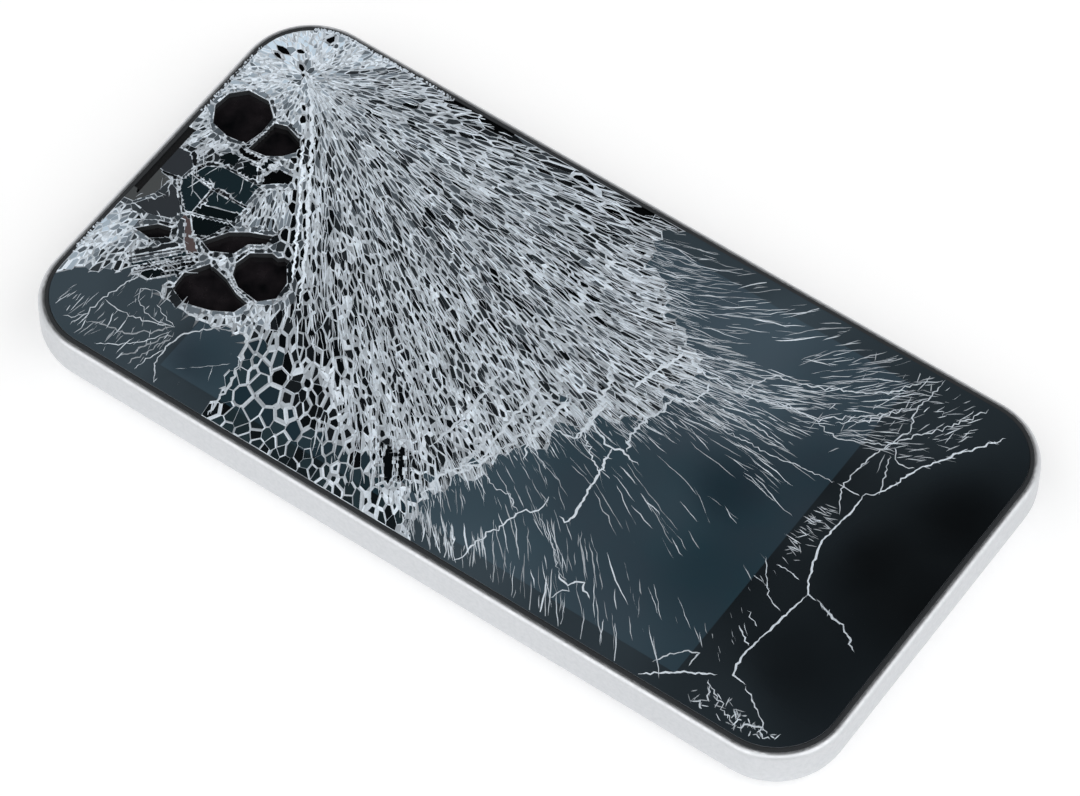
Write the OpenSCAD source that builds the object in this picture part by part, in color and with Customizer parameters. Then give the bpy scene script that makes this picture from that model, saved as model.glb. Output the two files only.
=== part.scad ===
// Slim touchscreen phone with a shattered front glass.
// Lies on its back: +Z is up through the screen, +Y points to the earpiece end,
// +X is the side with the volume buttons. The origin is the middle of the flat back.

/* [Body] */
// Width over the metal sides
body_w = 58.6; // [48:0.1:72]
// Length over the metal ends
body_l = 115.2; // [106:0.1:140]
// Thickness from the flat back to the top of the glass
body_t = 8.6; // [8.3:0.1:10.5]
// Corner radius seen from the front
corner_r = 9.5; // [8:0.1:11.5]
// Radius of the rounded back edge
back_r = 4.4; // [3.8:0.1:5.2]
// Thickness of the metal side wall
wall_t = 1.2; // [1:0.05:1.45]
// Thickness of the metal back
floor_t = 0.9; // [0.8:0.05:1]
// Width of the metal rim around the black seal
rim_w = 0.85; // [0.6:0.05:0.95]
// Radius of the rim's outer edge
rim_r = 0.7; // [0.4:0.05:0.8]

/* [Front] */
// Width of the black seal round the glass
seal_w = 0.5; // [0.3:0.05:0.8]
// Thickness of the front glass
glass_t = 1; // [0.7:0.05:1.2]
// Thickness of the touch sensor under the glass
sensor_t = 0.35; // [0.3:0.05:0.4]
// Thickness of the display panel
panel_t = 1.1; // [0.9:0.05:1.2]
// Thickness of the backlight
light_t = 0.7; // [0.6:0.05:0.8]
// Thickness of the steel chassis plate
chassis_t = 0.4; // [0.3:0.05:0.45]
// Display panel length
panel_l = 78; // [72:0.5:82]
// Width of the open cracks between pieces of glass
crack_w = 0.14; // [0.08:0.02:0.3]
// Angle between neighbouring rays of splinters
ray_step = 3.2; // [2.6:0.1:6]
// Spacing of the rings of splinters
ring_step = 6.2; // [5:0.1:9]

/* [Controls] */
// Length of each volume button
key_l = 9; // [7:0.1:10]
// Height of every side button
key_h = 1.8; // [1.4:0.1:2]
// How far the buttons travel
key_travel = 0.3; // [0.2:0.05:0.4]
// How far the buttons stand out
key_proud = 0.4; // [0.2:0.05:0.6]
// Width of the card tray
tray_w = 13.4; // [12.9:0.1:14.4]
// Thickness of the card tray
tray_t = 1; // [0.95:0.05:1.1]

/* [Sockets] */
// Radius of the headphone bore
jack_r = 1.8; // [1.76:0.01:1.85]
// Depth of the headphone bore
jack_l = 13.4; // [11.5:0.1:13.5]
// Width of the charging socket's shell
socket_w = 7.5; // [7.3:0.1:7.9]
// Height of the charging socket's shell
socket_h = 2.9; // [2.7:0.1:3]

/* [Inside] */
// Width of the main board
board_w = 17.4; // [16.8:0.1:19]
// Thickness of the main board
board_t = 0.8; // [0.6:0.05:0.9]
// Radius of the rear camera lens window
lens_r = 3.1; // [2.6:0.1:3.4]
// Number of slots in the loudspeaker grille
grille_n = 9; // [5:1:10]

/* [Hidden] */
$fn = 64;
eps = 0.01;

// Clearances
slip = 0.1;
seat = 0.05;

// Colours
silver = [0.83, 0.84, 0.86];
black = [0.06, 0.07, 0.08];
dark_glass = [0.1, 0.14, 0.17];
steel = [0.62, 0.63, 0.66];
board_green = [0.08, 0.24, 0.16];
copper = [0.75, 0.5, 0.2];

// Heights of the layers, from the glass down
glass_z = body_t - glass_t;
sensor_z = glass_z - sensor_t;
panel_z = sensor_z - panel_t;
light_z = panel_z - light_t;
chassis_z = light_z - chassis_t;
rim_z = body_t - 0.3;
seal_top = body_t - 0.15;

// Plan sizes, all half widths and half lengths
half_w = body_w / 2;
half_l = body_l / 2;
in_w = half_w - wall_t;
in_l = half_l - wall_t;
in_r = corner_r - wall_t;
floor_r = back_r - 1;
floor_w = in_w - floor_r;
floor_l = in_l - floor_r;
seal_half_w = half_w - rim_w;
seal_half_l = half_l - rim_w;
seal_r = corner_r - rim_w;
glass_half_w = seal_half_w - seal_w - seat;
glass_half_l = seal_half_l - seal_w - seat;
glass_r = seal_r - seal_w - seat;
panel_half_w = in_w - 1.6;
panel_half_l = panel_l / 2;
chassis_half_w = in_w - 0.3;
frame_half_w = in_w - slip;
frame_half_l = in_l - slip;
frame_bar = 1.2;
frame_roof_t = 0.65;
roof_z = sensor_z - frame_roof_t;

// Chassis posts and screws
screw_r = 0.65;
screw_head_r = 1.15;
screw_head_t = 0.3;
post_r = 1.5;
post_x = in_w - 2.9;
post_y = panel_half_l + frame_bar + screw_head_r + 0.2;
chassis_half_l = post_y + 1.3;
thread_slip = 0.03;
screw_depth = 2.6;
POSTS = [for (sx = [-1, 1], sy = [-1, 1]) [sx * post_x, sy * post_y]];

// Main board, along the +X side
board_z = floor_t + 1.3;
board_top = board_z + board_t;
board_x1 = in_w - 3.5;
board_x0 = board_x1 - board_w;
board_y0 = -panel_half_l + 1;
board_y1 = chassis_half_l - 3.2;
tab_x0 = board_x0 + 0.8;
tab_x1 = tab_x0 + 12;
tab_y1 = floor_l;
BOARD_POSTS = [
    [board_x0 + 1.6, board_y1 - 1.8],
    [board_x0 + 1.6, board_y0 + 5],
    [board_x1 - 1.4, board_y1 - 1.8]
];
board_post_r = 1.3;
can_top = chassis_z - 0.25;
can_wall = 0.2;

// Battery, along the -X side
battery_x0 = -floor_w + 0.1;
battery_x1 = board_x0 - 1.4;
battery_y0 = -panel_half_l + 2.5;
battery_y1 = panel_half_l - 0.5;
tape_t = 0.1;
battery_z = floor_t + tape_t;
battery_top = chassis_z - 0.1;

// Buttons
key_z = chassis_z - 1.15;
flange = 0.6;
flange_t = 0.6;
flange_h = key_h + 0.4;
nub_l = 0.55;
nub_r = 0.5;
volume_up_y = 30;
volume_down_y = 17;
power_x = 14;
switch_gap = key_travel + 0.05;
dome_t = 0.35;
switch_t = 0.6;
bracket_t = 0.2;
flange_in = seat + flange_t;

// Card tray and its socket
tray_y = -10;
tray_z = chassis_z - 1.45;
tray_l = 15;
tray_face_h = 1.7;
card_t = 0.76;
cage_wall = 0.2;

// Sockets in the earpiece end
jack_x = -11.5;
jack_body_r = 2.5;
jack_z = min(4, roof_z - 0.1 - jack_body_r);
jack_in = min(jack_l, in_l - chassis_half_l - 0.15);
jack_nose_r = jack_r + 0.6;
jack_hole_r = jack_nose_r + slip;
jack_step = 1.8;
jack_out = 0.6;
socket_z = 4.05;
socket_l = 5.5;
socket_shell = 0.3;
socket_lip = 0.7;
strap_screw_x = socket_w / 2 + 2.1;
strap_screw_r = 0.6;
strap_head_r = 1.1;
strap_t = 0.3;

// Rear camera and flash
camera_x = -19.3;
camera_s = 8.4;
camera_y = max(in_l - 9.2, chassis_half_l + 0.15 + camera_s / 2);
lens_ring_w = 0.9;
flash_x = camera_x + 8.2;
flash_y = camera_y - 1.6;
flash_r = 1.5;

// Antenna window
antenna_x = 7.5;
antenna_y = in_l - 7.8;
antenna_w = 27;
antenna_l = 8;
antenna_r = 2;

// Earpiece and its slit in the end of the glass
slit_w = 11.2;
slit_l = 1;
duct_w = 6;
duct_y0 = in_l - 11;
duct_y1 = in_l - 8;
front_camera_x = 12.5;
front_camera_y = in_l - 7.4;

// Loudspeaker end
speaker_x = -12;
speaker_w = 20;
speaker_y0 = -floor_l + 0.3;
speaker_y1 = -chassis_half_l - 0.8;
grille_pitch = 2;
grille_slot_w = 0.9;
mic_x = 19.5;
mic_y = -in_l + 9;
motor_y = -in_l + 9.4;
motor_r = 2;
motor_x0 = 3.5;
motor_l = 10;

// Flexible leads in the mouth end
lead_t = 0.15;
lead_z = can_top - 0.3;
display_lead_x = board_x0 + 4.6;
display_lead_w = 8;
sensor_lead_x = board_x0 + 13;
sensor_lead_w = 3.2;
lead_slot_y = -chassis_half_l + 1.3;
sensor_slot_y = -chassis_half_l - 2;
plug_y0 = board_y0 + 0.8;
plug_l = 2.6;

// ---------- shapes ----------

// A rounded rectangle in plan, by half width and half length.
module plan(hw, hl, r) {
    square([2 * hw, 2 * (hl - r)], center = true);
    square([2 * (hw - r), 2 * hl], center = true);
    for (sx = [-1, 1], sy = [-1, 1])
        translate([sx * (hw - r), sy * (hl - r)]) circle(r);
}

// The edge section of a shell: x is measured outwards from the corner's axis.
module edge_section(r, h, foot, top) {
    square([r - foot, h]);
    translate([0, foot]) square([r, h - foot - top]);
    translate([r - foot, foot]) intersection() {
        circle(foot);
        translate([0, -foot]) square(foot);
    }
    if (top > 0) {
        translate([0, foot]) square([r - top, h - foot]);
        translate([r - top, h - top]) intersection() {
            circle(top);
            square(top);
        }
    }
}

// A shallow tray shape with rounded corners, a rounded foot and an optional rounded top edge.
module tub(hw, hl, r, h, foot, top) {
    translate([0, 0, h / 2]) cube([2 * (hw - r), 2 * (hl - r), h], center = true);
    for (sx = [0, 1], sy = [0, 1])
        mirror([sx, 0, 0]) mirror([0, sy, 0])
            translate([hw - r, hl - r, 0])
                rotate_extrude(angle = 90) edge_section(r, h, foot, top);
    for (s = [0, 1]) {
        mirror([s, 0, 0]) translate([hw - r, hl - r, 0]) rotate([90, 0, 0])
            linear_extrude(2 * (hl - r)) edge_section(r, h, foot, top);
        mirror([0, s, 0]) translate([-(hw - r), hl - r, 0]) rotate([90, 0, 90])
            linear_extrude(2 * (hw - r)) edge_section(r, h, foot, top);
    }
}

// A box from its lowest to its highest corner.
module block(a, b) {
    translate(a) cube(b - a);
}

// A stadium outline along x.
module stadium(l, h) {
    square([l - h, h], center = true);
    for (s = [-1, 1]) translate([s * (l - h) / 2, 0]) circle(h / 2);
}

// A small flat-topped screw pointing down, with its head's underside at z = 0.
module screw(r, l, head_r, head_t) {
    translate([0, 0, -l]) cylinder(r = r, h = l);
    difference() {
        cylinder(r = head_r, h = head_t);
        translate([0, 0, head_t / 2])
            for (a = [0, 90]) rotate(a) translate([0, 0, head_t / 2])
                cube([1.3 * head_r, 0.3 * head_r, head_t], center = true);
    }
}

// Puts a side piece, drawn pointing along +z, into the +X wall.
module on_side(y, z) {
    translate([in_w, y, z]) rotate([90, 0, 90]) children();
}

// The same for the +Y end wall.
module on_end(x, z) {
    translate([x, in_l, z]) rotate([90, 0, 180]) children();
}

// ---------- housing ----------

module rear_housing() {
    color(silver) difference() {
        union() {
            difference() {
                tub(half_w, half_l, corner_r, rim_z, back_r, rim_r);
                translate([0, 0, floor_t]) tub(in_w, in_l, in_r, body_t, floor_r, 0);
                translate([0, 0, sensor_z]) linear_extrude(body_t) plan(seal_half_w, seal_half_l, seal_r);
            }
            for (p = POSTS)
                translate([p[0], p[1], floor_t / 2]) cylinder(r = post_r, h = chassis_z - floor_t / 2);
            for (p = BOARD_POSTS)
                translate([p[0], p[1], floor_t / 2]) cylinder(r = board_post_r, h = board_z - floor_t / 2);
        }
        for (p = POSTS)
            translate([p[0], p[1], chassis_z - screw_depth])
                cylinder(r = screw_r + thread_slip, h = screw_depth + 1);
        for (p = BOARD_POSTS)
            translate([p[0], p[1], floor_t]) cylinder(r = screw_r + thread_slip, h = board_z);
        key_slots();
        tray_slot();
        socket_openings();
        back_openings();
    }
}

// The slot of one button, with a flat pocket for its flange inside the wall.
module key_slot() {
    linear_extrude(3) stadium(key_l + 2 * slip, key_h + 2 * slip);
    translate([0, 0, -1.2]) linear_extrude(1.2) stadium(key_l + 2 * flange + 2 * slip, flange_h + 2 * slip);
}

module key_slots() {
    for (y = [volume_up_y, volume_down_y]) on_side(y, key_z) key_slot();
    on_end(power_x, key_z) key_slot();
}

module tray_slot() {
    on_side(tray_y, tray_z + tray_t / 2) translate([0, 0, -1])
        linear_extrude(4) stadium(tray_w + 2 * slip, tray_face_h + 2 * slip);
}

module socket_openings() {
    on_end(jack_x, jack_z) translate([0, 0, -2]) cylinder(r = jack_hole_r, h = 5);
    on_end(0, socket_z) translate([0, 0, -1]) linear_extrude(4)
        stadium(socket_w + 2 * slip, socket_h + 2 * slip);
    for (s = [-1, 1]) on_end(s * strap_screw_x, socket_z) {
        translate([0, 0, -1]) cylinder(r = strap_screw_r + slip, h = 4);
        translate([0, 0, wall_t / 2]) cylinder(r = strap_head_r + slip, h = 3);
    }
}

module back_openings() {
    translate([camera_x, camera_y, -1]) cylinder(r = lens_r + lens_ring_w + seat, h = 3);
    translate([flash_x, flash_y, -1]) cylinder(r = flash_r + seat, h = 3);
    translate([antenna_x, antenna_y, -1]) linear_extrude(3)
        plan(antenna_w / 2 + seat, antenna_l / 2 + seat, antenna_r + seat);
    translate([mic_x, mic_y, -1]) cylinder(r = 0.5, h = 3);
    for (i = [0 : grille_n - 1])
        translate([speaker_x + (i - (grille_n - 1) / 2) * grille_pitch, (speaker_y0 + speaker_y1) / 2, -1])
            linear_extrude(3) rotate(90) stadium(0.6 * (speaker_y1 - speaker_y0), grille_slot_w);
}

module bezel_seal() {
    color(black) translate([0, 0, sensor_z]) linear_extrude(seal_top - sensor_z) difference() {
        plan(seal_half_w, seal_half_l, seal_r);
        plan(glass_half_w + seat, glass_half_l + seat, glass_r + seat);
    }
}

// ---------- shattered glass ----------

// The point that was struck, near the corner of the +X side and the earpiece end.
strike = [half_w - 9, half_l - 8.8];

// The glass outline as one convex ring of points.
arc_n = 8;
glass_ring = [for (q = [0 : 3], i = [0 : arc_n])
    let (a = 90 * q + 90 * i / arc_n, sx = q == 0 || q == 3 ? 1 : -1, sy = q < 2 ? 1 : -1)
    [sx * (glass_half_w - glass_r), sy * (glass_half_l - glass_r)] + glass_r * [cos(a), sin(a)]];

// Keeps the part of a convex ring that lies behind a line through p with normal n.
function clip(ring, p, n) = len(ring) == 0 ? [] : [
    for (i = [0 : len(ring) - 1])
        let (a = ring[i], b = ring[(i + 1) % len(ring)], da = (a - p) * n, db = (b - p) * n)
        each concat(da <= 0 ? [a] : [], da * db < 0 ? [a + (b - a) * da / (da - db)] : [])
];

// The piece of glass round seed s: all that is nearer to it than to any other seed, less half a crack.
function piece(s, seeds, ring, i = 0) = i >= len(seeds) || len(ring) == 0 ? ring
    : seeds[i] == s ? piece(s, seeds, ring, i + 1)
    : let (d = seeds[i] - s, n = d / norm(d))
      piece(s, seeds, clip(ring, s + d / 2 - n * crack_w / 2, n), i + 1);

// How far a point lies beyond the centre of the nearest corner's arc.
function past_corner(p) = [
    max(0, abs(p[0]) - glass_half_w + glass_r),
    max(0, abs(p[1]) - glass_half_l + glass_r)
];

function in_glass(p, edge) = abs(p[0]) < glass_half_w - edge && abs(p[1]) < glass_half_l - edge
    && norm(past_corner(p)) < glass_r - edge;

// Splinters: long thin pieces on rays that fan out from the strike, in staggered rings.
fan_from = 214;
fan_to = 282;
ring_first = 6;
ring_last = 55;
shake = rands(-0.22, 0.22, 4000, 7);
splinter_seeds = [
    for (k = [0 : floor((ring_last - ring_first) / ring_step)])
        let (r = ring_first + k * ring_step, step = max(ray_step, 1.8 / r * 180 / PI),
             n = floor((fan_to - fan_from) / step))
            for (j = [0 : n - 1])
                let (m = 60 * k + j, a = fan_from + (j + 0.5 + 0.5 * (k % 2) + shake[m]) * step,
                     q = strike + (r + shake[m + 2000] * ring_step) * [cos(a), sin(a)])
                if (in_glass(q, 0.7)) q
];

// Large pieces, each named by a point inside it, measured from the seal's outer edge at the
// +Y, -X corner: how far down the phone, then how far across.
FRAGMENTS = [
    [1.6, 47], [2.4, 52.5], [6.5, 54.5], [6, 49.5], [8.5, 44], [12, 54.5], [1.5, 33.5], [5, 33], [9, 33],
    [14.5, 34.3], [15.5, 29.5], [4.5, 28], [7.4, 27], [10.8, 28], [11, 24.5], [2, 23.5], [5.4, 22.6],
    [10, 20], [2.5, 15.5], [3.5, 9.5], [8.5, 12.5], [7.5, 5.5], [12.5, 9], [12.5, 3.5], [18.8, 11.4],
    [16.8, 4], [23.5, 7.5], [20.4, 27.8], [24.3, 15.2], [29.5, 5], [33, 9], [34, 3], [38, 7], [41, 3],
    [44, 8], [48, 3], [50, 9], [54, 4], [59, 4.5], [60, 13], [66, 5], [66, 18], [73, 10], [73, 24],
    [80, 15], [81, 27], [83, 4], [88, 20], [90, 8], [92.5, 30], [84, 36], [80, 44], [70, 51], [78, 54],
    [87, 51], [92.5, 43], [92.5, 52], [94, 14], [93.5, 2.5], [100, 3.5], [104, 33], [105.5, 13],
    [103, 50], [107, 4.5]
];
// Pieces that have fallen out, in the same measure.
LOST = [[4.7, 40], [10.5, 38.6], [14.7, 23.4], [20.8, 21.2], [17.6, 16.2], [6.3, 18.6]];

function from_corner(p) = [
    -seal_half_w + p[1] * seal_half_w / 28.45,
    seal_half_l - p[0] * seal_half_l / 56.75
];

fragment_seeds = [for (p = FRAGMENTS) from_corner(p)];
lost_seeds = [for (p = LOST) from_corner(p)];
clear_of_large = [for (s = splinter_seeds)
    if (min([for (f = concat(fragment_seeds, lost_seeds)) norm(f - s)]) > 2.2) s];
all_seeds = concat(fragment_seeds, lost_seeds, clear_of_large);

module glass_pieces(seeds) {
    color(dark_glass) difference() {
        translate([0, 0, glass_z]) linear_extrude(glass_t)
            for (s = seeds) polygon(piece(s, all_seeds, glass_ring));
        earpiece_slit();
    }
}

module earpiece_slit() {
    block([-slit_w / 2, glass_half_l - slit_l, sensor_z - eps],
        [slit_w / 2, glass_half_l + seat, body_t + 1]);
}

module glass_fragments() glass_pieces(fragment_seeds);

module glass_splinters() glass_pieces(clear_of_large);

// ---------- display stack ----------

module touch_sensor() {
    color(black) difference() {
        translate([0, 0, sensor_z]) linear_extrude(sensor_t) plan(glass_half_w, glass_half_l, glass_r);
        earpiece_slit();
    }
}

module display_panel() {
    color([0.12, 0.2, 0.24])
        block([-panel_half_w, -panel_half_l, panel_z], [panel_half_w, panel_half_l, sensor_z]);
}

module backlight() {
    color([0.9, 0.9, 0.88]) block([-panel_half_w + 0.2, -panel_half_l + 0.2, light_z],
        [panel_half_w - 0.2, panel_half_l - 0.2, panel_z]);
}

module display_frame() {
    color(black) difference() {
        union() {
            translate([0, 0, roof_z]) linear_extrude(frame_roof_t)
                plan(frame_half_w, frame_half_l, in_r - slip);
            block([-frame_half_w, -panel_half_l - frame_bar, light_z],
                [frame_half_w, panel_half_l + frame_bar, roof_z]);
        }
        block([-panel_half_w - slip, -panel_half_l - slip, 0],
            [panel_half_w + slip, panel_half_l + slip, body_t]);
        // Room for the display's lead and the touch sensor's lead
        block([display_lead_x - 0.5, -panel_half_l - frame_bar - 1, 0],
            [display_lead_x + display_lead_w + 0.5, -panel_half_l, roof_z]);
        block([sensor_lead_x - 0.4, sensor_slot_y - 0.4, 0],
            [sensor_lead_x + sensor_lead_w + 0.4, sensor_slot_y + lead_t + 0.4, body_t]);
        // Earpiece hole and its duct to the slit
        block([-duct_w / 2, duct_y0, 0], [duct_w / 2, duct_y1, body_t]);
        block([-duct_w / 2, duct_y1 - eps, sensor_z - 0.35], [duct_w / 2, glass_half_l - 0.3, body_t]);
        // Front camera and light sensor
        translate([front_camera_x, front_camera_y, 0]) cylinder(r = 2.1, h = body_t);
        translate([front_camera_x - 7, front_camera_y, 0]) cylinder(r = 0.9, h = body_t);
    }
}

module chassis_plate() {
    color(steel) difference() {
        translate([0, 0, chassis_z]) linear_extrude(chassis_t) plan(chassis_half_w, chassis_half_l, 1.5);
        for (p = POSTS) translate([p[0], p[1], 0]) cylinder(r = screw_r + slip, h = body_t);
        block([display_lead_x - 0.5, lead_slot_y - 0.4, 0],
            [display_lead_x + display_lead_w + 0.5, lead_slot_y + lead_t + 0.4, body_t]);
    }
}

module chassis_screws() {
    color(steel) for (p = POSTS)
        translate([p[0], p[1], light_z])
            screw(screw_r, screw_depth + chassis_t - 0.3, screw_head_r, screw_head_t);
}

// ---------- buttons ----------

// A side button: its cap, retaining flange and nub, drawn with the inner wall at z = 0.
module key() {
    translate([0, 0, -seat]) linear_extrude(wall_t + key_proud + seat) stadium(key_l, key_h);
    translate([0, 0, -flange_in]) linear_extrude(flange_t) stadium(key_l + 2 * flange, flange_h);
    translate([0, 0, -flange_in - nub_l]) cylinder(r = nub_r, h = nub_l + eps);
}

// A click switch under a button, with its dome towards the button.
module click_switch() {
    top = -flange_in - nub_l - switch_gap;
    translate([0, 0, top - dome_t]) cylinder(r = 0.8, h = dome_t);
    translate([0, 0, top - dome_t - switch_t / 2]) cube([3.4, key_h, switch_t], center = true);
}
switch_back = flange_in + nub_l + switch_gap + dome_t + switch_t;

module power_button() color(silver) on_end(power_x, key_z) key();

module volume_up_button() color(silver) on_side(volume_up_y, key_z) key();

module volume_down_button() color(silver) on_side(volume_down_y, key_z) key();

module volume_switches() {
    color(copper) for (y = [volume_up_y, volume_down_y]) on_side(y, key_z) click_switch();
}

module power_switch() color(copper) on_end(power_x, key_z) click_switch();

module switch_bracket() {
    x = in_w - switch_back;
    color(steel) difference() {
        union() {
            block([x - bracket_t, volume_down_y - 4, board_top], [x, volume_up_y + 4, chassis_z - 0.15]);
            block([board_x1 - 1.2, volume_down_y - 4, board_top],
                [x, volume_up_y + 4, board_top + bracket_t]);
        }
        block([x - 1, volume_down_y + 3, board_top + 0.6], [x + 1, volume_up_y - 3, body_t]);
    }
}

module power_bracket() {
    y = in_l - switch_back;
    color(steel) {
        block([power_x - 3, y - bracket_t, board_top], [power_x + 3, y, chassis_z - 0.15]);
        block([power_x - 3, tab_y1 - 0.8, board_top], [power_x + 3, y, board_top + bracket_t]);
    }
}

// ---------- card tray ----------

tray_x0 = in_w - tray_l;

module sim_tray() {
    color(silver) difference() {
        union() {
            block([tray_x0, tray_y - tray_w / 2 + 0.5, tray_z],
                [in_w + eps, tray_y + tray_w / 2 - 0.5, tray_z + tray_t]);
            on_side(tray_y, tray_z + tray_t / 2) linear_extrude(wall_t - 0.08) stadium(tray_w, tray_face_h);
        }
        block([tray_x0 + 0.9, tray_y - 5.2, tray_z + tray_t - card_t], [in_w - 1.1, tray_y + 5.2, body_t]);
        on_side(tray_y + tray_w / 2 - 1.4, tray_z + tray_t / 2)
            translate([0, 0, 0.4]) cylinder(r = 0.45, h = 2);
    }
}

module sim_card() {
    color([0.9, 0.9, 0.92]) block([tray_x0 + 1, tray_y - 5.1, tray_z + tray_t - card_t],
        [in_w - 1.2, tray_y + 5.1, tray_z + tray_t - 0.02]);
}

module sim_socket() {
    x0 = tray_x0 - 1;
    x1 = in_w - 0.5;
    room_w = tray_w / 2 - 0.5 + 0.15;
    color(steel) difference() {
        block([x0, tray_y - room_w - cage_wall, board_top],
            [x1, tray_y + room_w + cage_wall, chassis_z - 0.05]);
        block([x0 + cage_wall, tray_y - room_w, tray_z - 0.12],
            [x1 + 1, tray_y + room_w, tray_z + tray_t + 0.12]);
    }
}

// ---------- sockets ----------

module headphone_jack() {
    body_l = jack_in - jack_step;
    color(black) on_end(jack_x, jack_z) difference() {
        union() {
            translate([0, 0, -jack_in]) cylinder(r = jack_nose_r, h = jack_in + jack_out);
            translate([0, 0, -jack_in + body_l / 2]) cube([6, 2 * jack_body_r, body_l], center = true);
        }
        translate([0, 0, -jack_in + 0.8]) cylinder(r = jack_r, h = 2 * jack_in);
    }
}

module charging_socket() {
    color(steel) on_end(0, socket_z) translate([0, 0, wall_t - socket_lip - socket_l]) {
        difference() {
            linear_extrude(socket_l) stadium(socket_w, socket_h);
            translate([0, 0, socket_shell]) linear_extrude(socket_l)
                stadium(socket_w - 2 * socket_shell, socket_h - 2 * socket_shell);
        }
        translate([0, -0.45, socket_l / 2]) cube([socket_w - 3.4, 0.5, socket_l - 1.4], center = true);
        translate([0, -0.45, socket_shell / 2 + 0.3]) cube([socket_w - 3.4, 0.5, 0.8], center = true);
    }
}

module socket_board() {
    z1 = socket_z - socket_h / 2;
    y0 = in_l - 9.5;
    color(board_green) block([-socket_w / 2 - 1, y0, z1 - 0.5], [socket_w / 2 + 1, in_l - 1, z1]);
}

module socket_strap() {
    y1 = in_l - 0.3;
    top = socket_z + socket_h / 2;
    color(steel) difference() {
        union() {
            block([-socket_w / 2 - 0.1, y1 - 4, top], [socket_w / 2 + 0.1, y1, top + strap_t]);
            for (s = [-1, 1]) {
                x0 = s > 0 ? socket_w / 2 + 0.1 : -strap_screw_x - 1.2;
                x1 = s > 0 ? strap_screw_x + 1.2 : -socket_w / 2 - 0.1;
                block([x0, y1 - 1.6, socket_z - 1.1], [x1, y1, top + strap_t]);
            }
        }
        for (s = [-1, 1]) on_end(s * strap_screw_x, socket_z)
            translate([0, 0, -3]) cylinder(r = strap_screw_r + thread_slip, h = 4);
    }
}

module socket_screws() {
    color(steel) for (s = [-1, 1]) on_end(s * strap_screw_x, socket_z)
        translate([0, 0, wall_t / 2]) screw(strap_screw_r, wall_t / 2 + 1.4, strap_head_r, wall_t / 2 - 0.1);
}

// ---------- cameras, antenna, sensors ----------

module camera_ring() {
    color(steel) translate([camera_x, camera_y, 0]) difference() {
        cylinder(r = lens_r + lens_ring_w, h = floor_t);
        translate([0, 0, -1]) cylinder(r = lens_r + seat, h = 3);
        translate([0, 0, -eps]) cylinder(r1 = lens_r + 0.6, r2 = lens_r, h = 0.35);
    }
}

module camera_window() {
    color(dark_glass) translate([camera_x, camera_y, 0.3]) cylinder(r = lens_r, h = floor_t - 0.3);
}

module rear_camera() {
    color(black) translate([camera_x, camera_y, floor_t]) {
        cylinder(r = lens_r - 0.2, h = 1);
        translate([-camera_s / 2, -camera_s / 2, 0.8]) cube([camera_s, camera_s, roof_z - floor_t - 1.1]);
    }
}

module flash_window() {
    color([0.95, 0.92, 0.75]) translate([flash_x, flash_y, 0.05]) cylinder(r = flash_r, h = floor_t - 0.05);
}

module flash_led() {
    color([0.95, 0.85, 0.4]) translate([flash_x, flash_y, floor_t]) {
        translate([-1.2, -1.2, 0]) cube([2.4, 2.4, 0.5]);
    }
}

module antenna_window() {
    color(black) translate([antenna_x, antenna_y, 0]) linear_extrude(floor_t)
        plan(antenna_w / 2, antenna_l / 2, antenna_r);
}

module antenna_flex() {
    color(copper) translate([antenna_x, antenna_y, floor_t]) linear_extrude(0.2) difference() {
        plan(antenna_w / 2 - 1, antenna_l / 2 - 0.6, 1);
        translate([2, 0.6]) square([antenna_w - 2, 0.8], center = true);
        translate([-2, -1.4]) square([antenna_w - 2, 0.8], center = true);
    }
}

module front_camera() {
    color(black) translate([front_camera_x, front_camera_y, board_top]) {
        translate([-3, -3, 0]) cube([6, 6, roof_z - board_top - 0.1]);
        cylinder(r = 2, h = sensor_z - board_top - 0.1);
    }
}

module light_sensor() {
    color([0.2, 0.1, 0.25]) translate([front_camera_x - 7, front_camera_y, 0]) {
        translate([-0.9, -0.9, roof_z - 1]) cube([1.8, 1.8, 0.95]);
        translate([0, 0, roof_z - 0.1]) cylinder(r = 0.75, h = frame_roof_t);
    }
}

module earpiece() {
    color(black) block([-6, in_l - 12.9, roof_z - 2.6], [3.4, in_l - 6.9, roof_z]);
}

module earpiece_mesh() {
    z1 = body_t - 0.3;
    color([0.15, 0.15, 0.16]) block([-slit_w / 2 + 0.05, glass_half_l - slit_l + 0.05, z1 - 0.3],
        [slit_w / 2 - 0.05, glass_half_l, z1]);
}

// ---------- boards ----------

module main_board() {
    color(board_green) difference() {
        union() {
            block([board_x0, board_y0, board_z], [board_x1, board_y1, board_top]);
            block([tab_x0, board_y1 - eps, board_z], [tab_x1, tab_y1, board_top]);
        }
        for (p = BOARD_POSTS) translate([p[0], p[1], 0]) cylinder(r = screw_r + slip, h = body_t);
    }
}

module board_screws() {
    color(steel) for (p = BOARD_POSTS) translate([p[0], p[1], board_top])
        screw(screw_r, board_top - floor_t - 0.2, screw_head_r, screw_head_t);
}

// A sheet metal can over chips, open below.
module can(a, b) {
    difference() {
        block([a[0], a[1], board_top], [b[0], b[1], can_top]);
        block([a[0] + can_wall, a[1] + can_wall, 0], [b[0] - can_wall, b[1] - can_wall, can_top - can_wall]);
    }
}

shield_x0 = board_x0 + 3.4;
shield_x1 = board_x1 - 1.5;
shield_y0 = 7;
shield_y1 = board_y1 - 4;
radio_y0 = plug_y0 + plug_l + 4;
radio_y1 = tray_y - tray_w / 2 - 1.4;

module processor_shield() color(steel) can([shield_x0, shield_y0], [shield_x1, shield_y1]);

module radio_shield() color(steel) can([board_x0 + 1.2, radio_y0], [board_x1 - 1.2, radio_y1]);

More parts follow.
